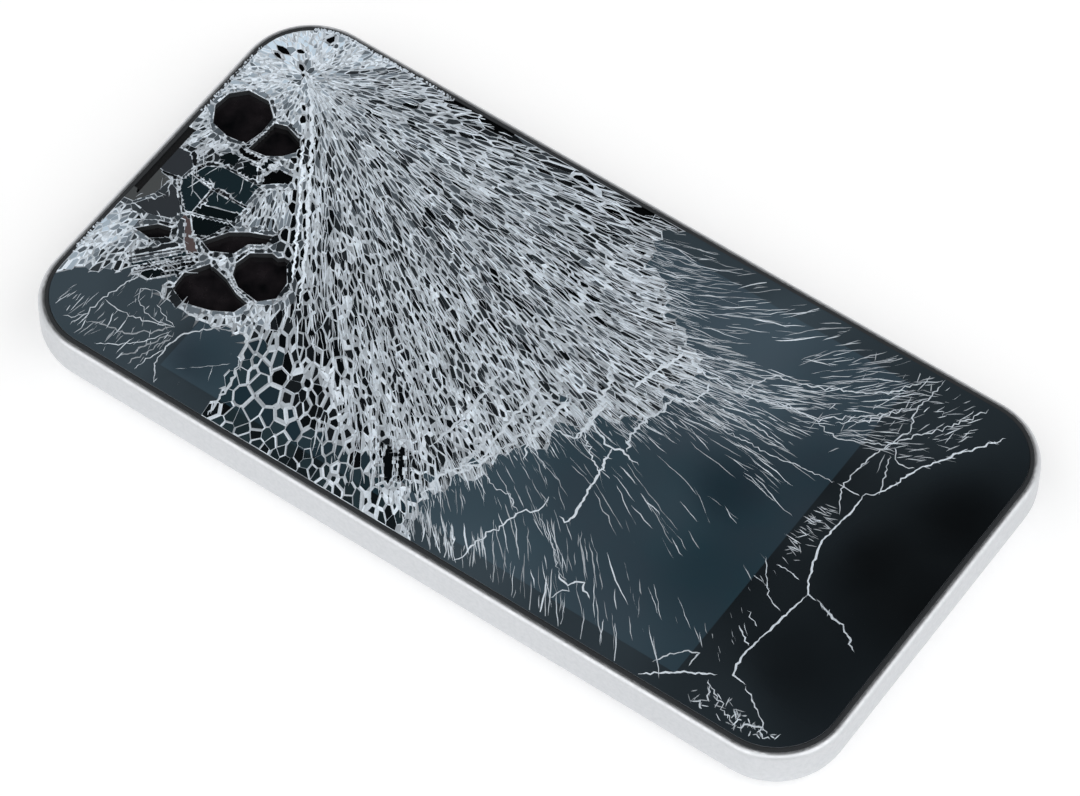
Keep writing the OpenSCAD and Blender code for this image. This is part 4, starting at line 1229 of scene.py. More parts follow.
    def shard(self, number: int, ring: Ring, marks: list[int]) -> Shard | None:
        """Gives a piece its cracks and its top.

        Args:
            number: the number of its seed.
            ring: its outline.
            marks: for each edge the number of the seed beyond it, or -1.

        Returns:
            The piece, or None if too little of it is left.
        """
        seeds = self.pattern.seeds
        kept = [i for i, (start, end) in enumerate(edges(ring)) if math.dist(start, end) > self.shortest_edge]
        ring, marks = [ring[i] for i in kept], [marks[i] for i in kept]
        if len(ring) < 3:
            return None
        halves = []
        for mark in marks:
            other = seeds[mark] if mark >= 0 else None
            pair = random.Random(min(number, mark) * PRIMES[0] + max(number, mark))
            halves.append(self.crack_width(seeds[number], other, pair) / 2)
        top = self.drawn_in(ring, halves)
        ways = zip(edges(top), edges(ring))
        if any((b[0] - a[0]) * (d[0] - c[0]) + (b[1] - a[1]) * (d[1] - c[1]) < 0 for (a, b), (c, d) in ways):
            top = self.shrunk(ring, halves, seeds[number])
        return Shard(seeds[number], ring, top, halves)

    @staticmethod
    def drawn_in(ring: Ring, halves: list[float]) -> Ring:
        """Draws a ring in from each of its edges.

        Args:
            ring: the ring.
            halves: how far each edge moves in.

        Returns:
            The smaller ring, with its edges turned over where there was too little room.
        """
        lines = []
        for ((x0, y0), (x1, y1)), half in zip(edges(ring), halves):
            length = math.hypot(x1 - x0, y1 - y0)
            inward = (-(y1 - y0) / length, (x1 - x0) / length)
            lines.append((x0 + inward[0] * half, y0 + inward[1] * half, x1 - x0, y1 - y0))
        top = []
        for i, (bx, by, vx, vy) in enumerate(lines):
            ax, ay, ux, uy = lines[i - 1]
            cross = ux * vy - uy * vx
            t = ((bx - ax) * vy - (by - ay) * vx) / cross if abs(cross) > 1e-9 else 0.0
            top.append((ax + ux * t, ay + uy * t) if abs(cross) > 1e-9 else (bx, by))
        return top

    @staticmethod
    def shrunk(ring: Ring, halves: list[float], seed: Seed) -> Ring:
        """Shrinks a small ring towards its middle instead, apart from corners without a crack.

        Args:
            ring: the ring.
            halves: half the width of each edge's crack.
            seed: the piece's seed.

        Returns:
            The smaller ring.
        """
        middle = (sum(x for x, _ in ring) / len(ring), sum(y for _, y in ring) / len(ring))
        room = min(math.dist(middle, ((a[0] + b[0]) / 2, (a[1] + b[1]) / 2)) for a, b in edges(ring))
        widest = max(halves)
        share = max(0.15, 1 - widest / max(0.05, room)) if widest > 0 else 1.0
        if seed.group >= 0 and widest < 0.25 or widest < 0.01:
            share = max(share, 0.6)
        small = [blend_places(middle, corner, share) for corner in ring]
        return [s if halves[i] + halves[i - 1] > 0 else r for i, (s, r) in enumerate(zip(small, ring))]

    def tint(self, seed: Seed, chance: random.Random) -> Rgba:
        """Gives the colour of a broken piece's top.

        Args:
            seed: the piece's seed.
            chance: the random numbers to draw from.

        Returns:
            The tint, dark or milky, with its share.
        """
        if seed.is_plate:
            return self.pattern.plates[seed.group - 1].look.tint
        if seed.cell:
            return seed.cell.look.tint
        black, milk = linear(self.black), linear(self.milk)
        place, grain = seed.place, seed.grain
        # All parts of one long splinter draw the same numbers, and so get one tint
        if seed.is_edge:
            chance = random.Random(seed.group)
        # The net of cells by the -X edge stays clear
        if place[1] < 7 and 26 < place[0] < 60 or place[1] < 13 and 26 < place[0] < 32:
            return linear(self.net_colour, 0.8 * chance.random())
        level = 0.75 * grain.milk * chance.uniform(0.1, 1.6) * blend(0.6, 1.35, self.streak(place))
        # Three splinters in ten stay nearly black, but none where the glass is crushed
        if chance.random() < 0.3 and grain.milk < 0.8:
            level *= 0.15
        level = min(2.3, level + 0.03 * chance.random())
        return (*(blend(b, m, level) for b, m in zip(black[:3], milk[:3])), 0.95)

    def cloud(self, place: Point) -> Rgba:
        """Gives the cloudiness of the clear glass at a place.

        Args:
            place: the place.

        Returns:
            The tint with its share.
        """
        weights = [(1 / (0.5 + math.dist(place, (d, a))) ** 3, share) for d, a, share in self.pattern.haze]
        share = sum(w * v for w, v in weights) / sum(w for w, _ in weights)
        return (*linear(self.cloud_colour)[:3], share)

    def heights(self, shard: Shard, chance: random.Random) -> list[float]:
        """Tilts a piece a little and lets it sink, so that no corner stands above the face.

        Args:
            shard: the piece.
            chance: the random numbers to draw from.

        Returns:
            The height of each corner of its top.
        """
        seed = shard.seed
        slope, lift, base = (0.0, 0.0), self.top_z, seed.place
        if seed.is_loose:
            lean, way = math.tan(math.radians(chance.uniform(0.3, 3.5))), chance.uniform(0, 2 * math.pi)
            slope = (lean * math.cos(way), lean * math.sin(way))
        elif seed.is_plate:
            corners = self.pattern.plates[seed.group - 1].corners
            base = corners[0]
            way = 1.7 * seed.group
            slope = (0.008 * math.cos(way), 0.008 * math.sin(way))
            lift -= 0.02 + max(slope[0] * (x - base[0]) + slope[1] * (y - base[1]) for x, y in corners)
        rise = [slope[0] * (x - base[0]) + slope[1] * (y - base[1]) for x, y in shard.top]
        if seed.is_loose or seed.is_edge:
            lift -= max(rise) + (chance.uniform(0, 0.06) if seed.is_loose else 0.03)
        return [lift + r for r in rise]

    def raise_piece(self, book: MeshBook, shard: Shard, chance: random.Random) -> None:
        """Raises a piece from the sensor to its top, with crushed white on its broken edges.

        Args:
            book: where its points and faces go.
            shard: the piece.
            chance: the random numbers to draw from.
        """
        count, seed = len(shard.outline), shard.seed
        heights = self.heights(shard, chance)
        bottom = book.add_points([(*in_frame(p), self.bottom_z) for p in shard.outline])
        floor = book.add_points([(*in_frame(p), self.top_z - self.groove) for p in shard.outline])
        top = book.add_points([(*in_frame(p), height) for p, height in zip(shard.top, heights)])
        tint = [self.cloud(p) for p in shard.top] if seed.group == 0 else self.tint(seed, chance)
        book.add_face(tuple(range(top, top + count)), 0, tint)
        book.add_face(tuple(range(bottom + count - 1, bottom - 1, -1)), 0, Look.CLEAR.tint)
        haze = blend(0.6, 1.0, self.streak(seed.place))
        if seed.grain and seed.grain.milk > 0.6:
            haze = blend(haze, 1.0, min(1.0, seed.grain.milk - 0.4))
        for i in range(count):
            j = (i + 1) % count
            glow = min(1.05, haze * chance.uniform(0.45, 1.15)) if shard.cracks[i] > 0 else 0.2
            book.add_face((bottom + i, bottom + j, floor + j, floor + i), 1, frosted(0.035))
            book.add_face((floor + i, floor + j, top + j, top + i), 1, frosted(glow))

    def build(self) -> bpy.types.Object:
        """Builds the whole broken glass.

        Returns:
            The piece, which takes the place of both CAD nodes of glass.
        """
        book = MeshBook()
        chance = random.Random(self.seed_number)
        shards = self.shards()
        for shard in shards:
            self.raise_piece(book, shard, chance)
        LOG.info("glass: %d pieces, %d faces", len(shards), len(book.faces))
        piece = book.piece("shattered_glass", [SCREEN_GLASS, CRUSHED_GLASS])
        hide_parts("glass_fragments", "glass_splinters")
        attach(piece, "phone")
        return piece


# ---------------------------------------------------------------- cracks and crumbs


@dataclass
class Crack:
    """A crack drawn through the clear glass."""

    path: Ring
    width: float = 0.3
    ragged: float = 0.12
    twigs: float = 0.0
    glow: float = 0.75


@dataclass
class Rays:
    """A spray of short open cracks in one area: its corners, how many, their length and width."""

    low: Point
    high: Point
    count: int
    length: Point
    width: Point
    turn: float = 0.0
    swing: float = 5.0
    over_plates: bool = False


@dataclass
class CrackVeins:
    """Cracks that cross the clear glass: long ragged ones, and sprays of short open ones."""

    pattern: BreakPattern
    top_z: float = GLASS_TOP
    proud: float = 0.025
    # How far the ridges' rims and keels reach into the glass
    rim: float = 0.03
    keel: float = 0.06
    # Ridges narrower than this are lower too
    full_width: float = 0.15
    # The steps that long cracks and short rays are drawn in
    crack_step: float = 0.45
    ray_step: float = 0.9
    # How many places are tried for the fan's rays, and how far apart the rays along its front start
    fan_rays: int = 2300
    fringe_step: float = 0.14
    veins_seed: int = 21
    fan_seed: int = 23
    long_cracks: list[Crack] = field(default_factory=lambda: [
        # The ridge along the fan's steep side
        Crack([(8.2, 48.4), (12.3, 43.5), (15.2, 39.6), (19, 33.9), (22.8, 28.4), (25.6, 23.8),
               (27.9, 19.7)], 0.44, 0.1, 0.2, 1.05),
        Crack([(13.4, 40.2), (17, 34.9), (20.4, 29.8), (23.2, 25.4), (25, 22.4)], 0.34, 0.1, 0.2, 1.05),
        # Steps across the fan's front
        Crack([(53, 27), (53.4, 23), (53.3, 18), (52.6, 13)], 0.41, 0.12),
        Crack([(58.4, 27.5), (58.1, 20), (58.6, 15), (56.6, 11)], 0.41, 0.12, 0.3),
        Crack([(66.2, 30), (66, 26.5), (66.4, 23.4)], 0.46, 0.1, 0.3),
        # Across the mouth end
        Crack([(97.3, 56.2), (97.2, 53), (96.9, 50.3), (97.9, 47.6), (97, 45), (96.2, 42), (95.6, 38.6),
               (95.9, 36), (96.8, 34), (97.8, 32.6)], 0.35, 0.1),
        Crack([(95, 36.4), (98.3, 36.4)], 0.27),
        Crack([(98.4, 36.6), (98.6, 34), (98.2, 31), (98, 28.4), (98.8, 25.6), (99.8, 23), (100.8, 21.4),
               (102.2, 21.2)], 0.49, 0.06),
        Crack([(100.8, 21.4), (100.3, 18), (99.8, 14), (99.3, 11), (99.4, 8.6), (99.9, 7.2),
               (101.9, 6.8)], 0.49, 0.06),
        Crack([(98.4, 36.6), (99.7, 38), (100.6, 40), (101.5, 43.4), (103.2, 46.2), (105.3, 49.6),
               (107.9, 53.4)], 0.46, 0.12, 0.5),
        Crack([(97.6, 44.6), (99.4, 42.8), (101.4, 43.6)], 0.27),
        Crack([(97.2, 45), (99.2, 48), (100.6, 49.6), (102.4, 52.6), (104, 56)], 0.32, 0.15),
        Crack([(99.9, 37.8), (98.9, 41), (97.6, 43.4)], 0.27),
        Crack([(102.6, 21.3), (104.6, 20.7), (106.4, 20.2), (108, 19.2), (109.6, 17.9)], 0.57, 0.16, 0.4),
        Crack([(95.4, 22.7), (97, 22.8), (99, 22.4)], 0.27),
        Crack([(93.6, 23.2), (95, 21.2), (97, 18.8), (99.8, 17.2)], 0.24),
        Crack([(96.2, 15.4), (98.6, 14.2)], 0.27),
        Crack([(96.6, 13.2), (99.2, 11.4)], 0.35),
        Crack([(90.8, 0.9), (92.6, 2.4), (95, 4.2), (98.4, 6.2)], 0.49, 0.1),
        Crack([(91.2, 3.2), (92, 5), (93.4, 6.6), (95, 7.4), (95, 5)], 0.35, 0.08),
        Crack([(97.9, 5), (98.8, 3.6), (99.8, 2.4)], 0.32),
        Crack([(98.4, 4.6), (100.6, 3), (103.4, 2)], 0.30, 0.2),
        Crack([(101.9, 6.8), (103.4, 6), (105.2, 4.6), (107.6, 2.6)], 0.32, 0.15, 0.3),
        Crack([(97.8, 1.4), (98.6, 1.8), (99.6, 1.2)], 0.41, 0.2),
        Crack([(104.2, 1.6), (105, 2.6), (106.3, 2.8), (107.4, 2.2), (108.4, 2.4)], 0.46, 0.2, 0.6),
        # Across the middle
        Crack([(72.4, 35.4), (72.3, 33), (71.3, 31), (71.1, 28), (72.1, 25.6)], 0.75, 0.16, 0.4),
        Crack([(65.6, 27), (67.6, 26), (69.8, 25), (72.1, 25.5), (74.4, 24.8)], 0.49, 0.14),
        Crack([(70.4, 24.9), (71.1, 21.5), (71.6, 18), (72.2, 14.4), (71.8, 13.2),
               (70.8, 13.5)], 0.62, 0.12, 0.3),
        Crack([(68.2, 15), (68.4, 12.6), (66.8, 11.5), (66.2, 9), (65.4, 6.6), (65, 4),
               (64.2, 1)], 0.43, 0.18, 0.2),
        Crack([(68.4, 12.6), (72, 10), (75.6, 6.8), (77.2, 6.2)], 0.20),
        Crack([(58.9, 13.8), (61, 12.9), (62.6, 12.3), (64.2, 12.6), (66.6, 10.9)], 0.27, 0.12),
        Crack([(75.4, 6.9), (77.2, 6.1), (77.9, 7.4), (80.4, 6)], 0.46, 0.2),
        Crack([(77.2, 6.1), (77, 4.8), (76.3, 3.4)], 0.38, 0.2),
        Crack([(63.4, 34.6), (64.8, 32), (65.6, 29), (66.2, 26.2), (65.8, 23.4),
               (63, 23.4)], 0.54, 0.2, 0.3),
        Crack([(61.8, 28.6), (62.2, 24.2), (61.6, 20.4), (63, 17.4)], 0.46, 0.2),
        Crack([(60, 27.4), (60.5, 22.4), (60.4, 18.6), (59.2, 17.4)], 0.46, 0.2),
        Crack([(59.2, 17.4), (58.9, 13.8), (57.6, 12), (56, 11), (55.8, 8), (56.1, 5)], 0.46, 0.2, 0.3),
        Crack([(57, 18.4), (57.6, 15), (56.8, 12.6)], 0.41, 0.2),
        Crack([(66, 25), (69, 22.6), (71.2, 21.4)], 0.35, 0.2),
        Crack([(69.4, 41.6), (69, 39), (68, 36.6), (67.6, 33.6)], 0.54, 0.2),
        Crack([(72.3, 35), (74.5, 36.6), (75, 38.6), (74.2, 39.6)], 0.59, 0.2, 0.5),
        Crack([(69.6, 41.4), (73, 40.3), (76.8, 40.5), (78.6, 40.4)], 0.49, 0.16, 0.4),
        Crack([(78.6, 40.4), (79, 42.6), (80.4, 45.2), (82.8, 45.4)], 0.35, 0.15),
        Crack([(74, 34.4), (80, 34.8), (88, 35.4), (95.2, 36.4)], 0.22, 0.12),
        Crack([(75, 36.6), (81, 37.6), (88, 37)], 0.27, 0.12),
        Crack([(79, 40.2), (84, 42.2), (87.8, 42.4), (92, 46), (95.6, 49.6)], 0.35, 0.16, 0.5),
        Crack([(87.8, 42.4), (91, 41.6), (94, 42.8), (97, 44.4)], 0.30, 0.16, 0.3),
        Crack([(83, 45.4), (87, 47.4), (91, 49.4), (95.4, 53)], 0.32, 0.16, 0.4),
        Crack([(90, 43.4), (93, 46), (96.6, 51)], 0.30, 0.16, 0.3),
        Crack([(92.4, 50.2), (94, 52.6), (95.2, 54.6)], 0.32, 0.16),
        # At the earpiece end
        Crack([(9.4, 13.6), (8.6, 10.4), (7.8, 7.4), (7.4, 4), (6.6, 1.6)], 0.26, 0.12, 0.2),
        Crack([(7.9, 7.3), (11, 7.1), (14, 7.6), (17.6, 9)], 0.26, 0.1),
        Crack([(17.6, 9), (15.4, 8.4), (13.2, 8.6), (11.4, 9.6), (10.6, 11), (12.4, 12),
               (14.6, 11)], 0.2, 0.08),
        Crack([(17.6, 9), (15.6, 9.4), (13.4, 10.4)], 0.2, 0.08),
        Crack([(17.2, 8.8), (15.6, 6.6), (13, 4.8), (7.8, 3.6)], 0.4, 0.16, 0.3, 0.4),
        Crack([(17.6, 8.6), (16, 5.4), (13.4, 3), (10.4, 1.2)], 0.22, 0.1),
        Crack([(17.8, 8.2), (16.4, 4.8), (14.4, 1.4)], 0.4, 0.16, 0.3, 0.4),
        Crack([(18, 7.4), (16.9, 4.4), (15.9, 1.2)], 0.4, 0.16, 0.3, 0.4),
        Crack([(18.3, 5.6), (17.4, 3.2), (17, 1)], 0.22, 0.1),
        Crack([(22.6, 13.4), (20.8, 10.8), (18.9, 8.8), (18.2, 6), (18.6, 3.2),
               (20.4, 0.9)], 0.4, 0.1, 0.2),
        Crack([(24.4, 14.4), (22.6, 12.2), (20.6, 11)], 0.4, 0.16, 0.3, 0.4),
        Crack([(25.6, 13), (26.6, 10), (27.8, 6), (28.3, 1)], 0.36, 0.12, 0.2),
        Crack([(26.4, 8.8), (23.4, 6), (20.6, 3.6)], 0.12, 0.04),
        Crack([(7.6, 4), (5.2, 2.2)], 0.18),
    ])
    sprays: list[Rays] = field(default_factory=lambda: [
        Rays((55, 0.8), (76, 13), 98, (1.8, 7.7), (0.09, 0.30)),
        Rays((54, 0.8), (66, 5), 54, (1.3, 5.0), (0.20, 0.53)),
        Rays((74, 0.8), (91, 12), 47, (2.6, 9.8), (0.10, 0.35)),
        Rays((60, 12), (74, 24), 43, (1.8, 7.0), (0.06, 0.18)),
        Rays((73, 16), (89, 26.5), 24, (3.3, 11.2), (0.10, 0.30)),
        Rays((72, 30), (90, 37), 38, (2.2, 9.8), (0.10, 0.30)),
        Rays((70, 35), (80, 45), 122, (1.3, 6.4), (0.15, 0.45), swing=7.0),
        Rays((78, 36), (88, 46), 74, (1.3, 6.4), (0.12, 0.38), swing=7.0),
        Rays((58, 43), (76, 52), 70, (1.5, 7.0), (0.08, 0.28)),
        Rays((57, 50), (82, 56.2), 64, (2.0, 9.1), (0.09, 0.30)),
        Rays((82, 42), (97, 55.6), 136, (1.5, 7.3), (0.10, 0.30), turn=8.0, swing=9.0),
        Rays((88, 40), (98, 55.6), 27, (1.1, 4.2), (0.10, 0.30), turn=60.0, swing=16.0),
        Rays((96, 44), (104, 56), 81, (1.0, 3.6), (0.10, 0.30), turn=16.0, swing=16.0),
        Rays((95.0, 24.5), (97.4, 33.4), 54, (1.0, 2.6), (0.15, 0.33), turn=14.0, swing=20.0),
        Rays((93, 8), (98, 24), 22, (1.1, 3.6), (0.09, 0.20)),
        Rays((97, 1), (104, 4), 27, (0.8, 2.4), (0.15, 0.38), swing=50.0),
        Rays((103, 1.2), (109, 3.6), 27, (0.6, 1.6), (0.18, 0.43), swing=80.0),
        Rays((3, 1.4), (18, 7), 59, (1.2, 4.0), (0.10, 0.28), turn=-4.0, swing=10.0),
        Rays((8, 7), (18, 13), 40, (1.2, 3.4), (0.07, 0.22), turn=10.0, swing=14.0),
        Rays((4.5, 23), (15, 34), 18, (0.8, 3.0), (0.06, 0.2), turn=20.0, swing=50.0, over_plates=True),
        Rays((1, 18), (8, 34), 14, (0.8, 2.6), (0.06, 0.2), turn=0.0, swing=60.0, over_plates=True),
        Rays((6, 11), (14, 20), 22, (1.0, 3.0), (0.08, 0.24), turn=90.0, swing=14.0, over_plates=True),
        Rays((19, 1), (28, 12), 11, (1.2, 5.0), (0.06, 0.15)),
    ])

    def strip(self, book: MeshBook, path: Ring, widths: list[float], glow: float) -> None:
        """Lays a low ridge of crushed glass along a path, pointed at both ends.

        Args:
            book: where its points and faces go.
            path: the places it runs through.
            widths: its width at each of them.
            glow: its brightness.
        """
        low, high = self.top_z - self.rim, self.top_z + self.proud
        rows = []
        for i, (x, y) in enumerate(path):
            ahead, behind = path[min(i + 1, len(path) - 1)], path[max(i - 1, 0)]
            way = Vector((ahead[0] - behind[0], ahead[1] - behind[1]))
            way = way.normalized() if way.length > 1e-9 else Vector((1, 0))
            side = (-way.y * widths[i] / 2, way.x * widths[i] / 2)
            crest = min(1.0, widths[i] / self.full_width)
            spots = [
                (x - side[0], y - side[1], low),
                (x, y, self.top_z - self.keel),
                (x + side[0], y + side[1], low),
                (x, y, blend(low, high, crest)),
            ]
            rows.append([(*in_frame(spot[:2]), spot[2]) for spot in spots])
        first = book.add_points([spot for row in rows for spot in row])
        white = frosted(glow)
        for i in range(len(rows) - 1):
            for k in range(4):
                a, b = first + 4 * i + k, first + 4 * i + (k + 1) % 4
                book.add_face((a, a + 4, b + 4, b), 0, white)
        last = first + 4 * (len(rows) - 1)
        book.add_face((first, first + 1, first + 2, first + 3), 0, white)
        book.add_face((last + 3, last + 2, last + 1, last), 0, white)

    def ragged(self, crack: Crack, chance: random.Random) -> tuple[Ring, list[float]]:
        """Breaks a crack's path into short steps that stray to either side, with widths that vary.

        Args:
            crack: the crack.
            chance: the random numbers to draw from.

        Returns:
            The places it runs through and its width at each of them.
        """
        path, widths = [], []
        parts = list(zip(crack.path, crack.path[1:]))
        total = sum(math.dist(a, b) for a, b in parts)
        gone = 0.0
        for (x0, y0), (x1, y1) in parts:
            length = math.dist((x0, y0), (x1, y1))
            steps = max(1, round(length / self.crack_step))
            for i in range(steps):
                t = i / steps
                stray = chance.gauss(0, crack.ragged) if path else 0.0
                nx, ny = -(y1 - y0) / length, (x1 - x0) / length
                path.append((blend(x0, x1, t) + nx * stray, blend(y0, y1, t) + ny * stray))
                share = (gone + length * t) / total
                taper = min(1.0, 0.25 + 6 * min(share, 1 - share))
                widths.append(crack.width * taper * chance.uniform(0.55, 1.35))
            gone += length
        path.append(crack.path[-1])
        widths.append(crack.width * 0.15)
        widths[0] = crack.width * 0.3
        return path, widths

    def spray(self, book: MeshBook, spray: Rays, chance: random.Random) -> None:
        """Lays one spray of short cracks.

        Args:
            book: where its points and faces go.
            spray: the spray.
            chance: the random numbers to draw from.
        """
        for _ in range(spray.count):
            place = (chance.uniform(spray.low[0], spray.high[0]), chance.uniform(spray.low[1], spray.high[1]))
            if self.pattern.broken(place) != spray.over_plates or not self.pattern.in_glass(place, 0.8):
                continue
            if spray.over_plates and self.pattern.lost(place):
                continue
            angle = math.radians(self.pattern.lie(place) + spray.turn + chance.gauss(0, spray.swing))
            length = chance.uniform(*spray.length)
            self.ray(book, place, angle, length, chance.uniform(*spray.width), chance)

    def build(self) -> bpy.types.Object:
        """Lays every crack and spray.

        Returns:
            The piece.
        """
        book = MeshBook()
        chance = random.Random(self.veins_seed)
        for crack in self.long_cracks:
            path, widths = self.ragged(crack, chance)
            self.strip(book, path, widths, crack.glow * chance.uniform(0.85, 1.15))
            for place in path:
                if chance.random() < crack.twigs * 0.5:
                    angle = math.radians(self.pattern.lie(place) + chance.gauss(0, 25))
                    self.ray(book, place, angle, chance.uniform(0.6, 1.8), crack.width * 0.5, chance)
        for spray in self.sprays:
            self.spray(book, spray, chance)
        piece = book.piece("glass_crack_veins", [CRUSHED_GLASS])
        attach(piece, "phone")
        return piece

    def build_fan(self) -> bpy.types.Object:
        """Lays the fine bright cracks that run along the fan's splinters and feather its front.

        Returns:
            The piece.
        """
        book = MeshBook()
        chance = random.Random(self.fan_seed)
        self.fringe(book, chance)
        for _ in range(self.fan_rays):
            place = (chance.uniform(9, 72), chance.uniform(4, 56))
            net = place[1] < 16 and place[0] < 40
            if not inside(self.pattern.fan, place) or self.pattern.owner(place) or net:
                continue
            angle = math.radians(self.pattern.lie(place) + chance.gauss(0, 4))
            length = chance.uniform(1.2, 5.5)
            self.ray(book, place, angle, length, chance.uniform(0.07, 0.2), chance, (0.55, 1.05))
        piece = book.piece("glass_fan_rays", [CRUSHED_GLASS])
        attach(piece, "phone")
        return piece

    def fringe(self, book: MeshBook, chance: random.Random) -> None:
        """Feathers the fan's front with rays that start inside it and thin out in the clear glass.

        Args:
            book: where their points and faces go.
            chance: the random numbers to draw from.
        """
        front = [p for p in self.pattern.fan if p[0] > 55.5]
        for start, end in zip(front, front[1:]):
            length = math.dist(start, end)
            far = smooth(12, 32, start[1])
            for i in range(round(length / self.fringe_step)):
                x, y = blend_places(start, end, (i + chance.random()) * self.fringe_step / length)
                angle = math.radians(self.pattern.lie((x, y)) + chance.gauss(0, 6))
                reach = (1.0 + 4.6 * chance.random() ** 2) * blend(1.1, 1.7, far)
                ahead = reach * chance.uniform(-0.4, 0.6) + blend(1.0, 6.0, far) * chance.random() ** 2.5
                middle = (x + math.cos(angle) * ahead, y + math.sin(angle) * ahead)
                self.ray(book, middle, angle, reach, chance.uniform(0.07, 0.24), chance)

    def ray(
        self, book: MeshBook, place: Point, angle: float, length: float, width: float, chance: random.Random,
        glow: Point = (0.4, 0.95),
    ) -> None:
        """Lays one short open crack, thin at its ends and slightly bent.

        Args:
            book: where its points and faces go.
            place: its middle.
            angle: the way it runs, in radians.
            length: its length.
            width: its width at the middle.
            chance: the random numbers to draw from.
            glow: the range of its brightness.
        """
        steps = max(3, round(length / self.ray_step))
        bend = chance.gauss(0, 0.12)
        path, widths = [], []
        x, y = place[0] - math.cos(angle) * length / 2, place[1] - math.sin(angle) * length / 2
        for i in range(steps + 1):
            if not self.pattern.in_glass((x, y), 0.15) or self.pattern.in_slit((x, y)):
                break
            t = i / steps
            path.append((x, y))
            swell = math.sin(math.pi * min(0.97, t + 0.03)) ** 0.7
            widths.append(max(0.02, width * swell * chance.uniform(0.6, 1.3)))
            turn = angle + bend * (t - 0.5) + chance.gauss(0, 0.1)
            x += math.cos(turn) * length / steps
            y += math.sin(turn) * length / steps
        if len(path) > 2:
            self.strip(book, path, widths, blend(*glow, chance.random() ** 1.6))


@dataclass
class GlassCrumbs:
    """Crumbs of glass that lie over the seal beside the strike, where the crushed glass spilled out."""

    pattern: BreakPattern
    top_z: float = GLASS_HIGH[2] - 0.005
    foot_z: float = SEAL_HIGH[2] - 0.01
    size: Point = (0.12, 0.42)
    sides: int = 5
    # They lie in a band along the glass's edge, from this far outside it to this far inside
    band: Point = (-0.32, 0.15)
    seed_number: int = 31
    # Where they lie, by the area's corners, and how many there
    runs: list[tuple[Point, Point, int]] = field(default_factory=lambda: [
        ((4.2, 53), (18.5, 57), 330), ((18, 56), (25, 57), 40), ((0.1, 37), (2, 49.5), 90),
        ((0.1, 10.5), (1.2, 17), 50),
    ])

    def crumb(self, book: MeshBook, place: Point, size: float, chance: random.Random) -> None:
        """Adds one crumb, a low broken wedge.

        Args:
            book: where its points and faces go.
            place: its middle.
            size: about how far across it is.
            chance: the random numbers to draw from.
        """
        count, turn = self.sides, chance.uniform(0, 6.3)
        middle = in_frame(place)
        foot, head = [], []
        for i in range(count):
            angle = turn + 2 * math.pi * (i + chance.uniform(-0.25, 0.25)) / count
            reach = size * chance.uniform(0.35, 0.6)
            corner = (middle[0] + reach * math.cos(angle), middle[1] + reach * math.sin(angle))
            foot.append((*corner, self.foot_z))
            head.append((*blend_places(middle, corner, 0.6), self.top_z - chance.uniform(0, 0.05)))
        first = book.add_points(foot + head)
        white = frosted(chance.uniform(0.6, 1.0))
        book.add_face(tuple(range(first + count, first + 2 * count)), 0, white)
        book.add_face(tuple(range(first + count - 1, first - 1, -1)), 0, white)
        for i in range(count):
            j = (i + 1) % count
            book.add_face((first + i, first + j, first + count + j, first + count + i), 0, white)

    def build(self) -> bpy.types.Object:
        """Scatters the crumbs along the seal.

        Returns:
            The piece.
        """
        book = MeshBook()
        chance = random.Random(self.seed_number)
        for low, high, count in self.runs:
            placed = 0
            while placed < count:
                place = (chance.uniform(low[0], high[0]), chance.uniform(low[1], high[1]))
                outer, inner = (self.pattern.in_glass(place, margin) for margin in self.band)
                if outer and not inner:
                    self.crumb(book, place, chance.uniform(*self.size), chance)
                    placed += 1
        piece = book.piece("glass_crumbs", [CRUSHED_GLASS])
        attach(piece, "phone")
        return piece


# ---------------------------------------------------------------- the studio


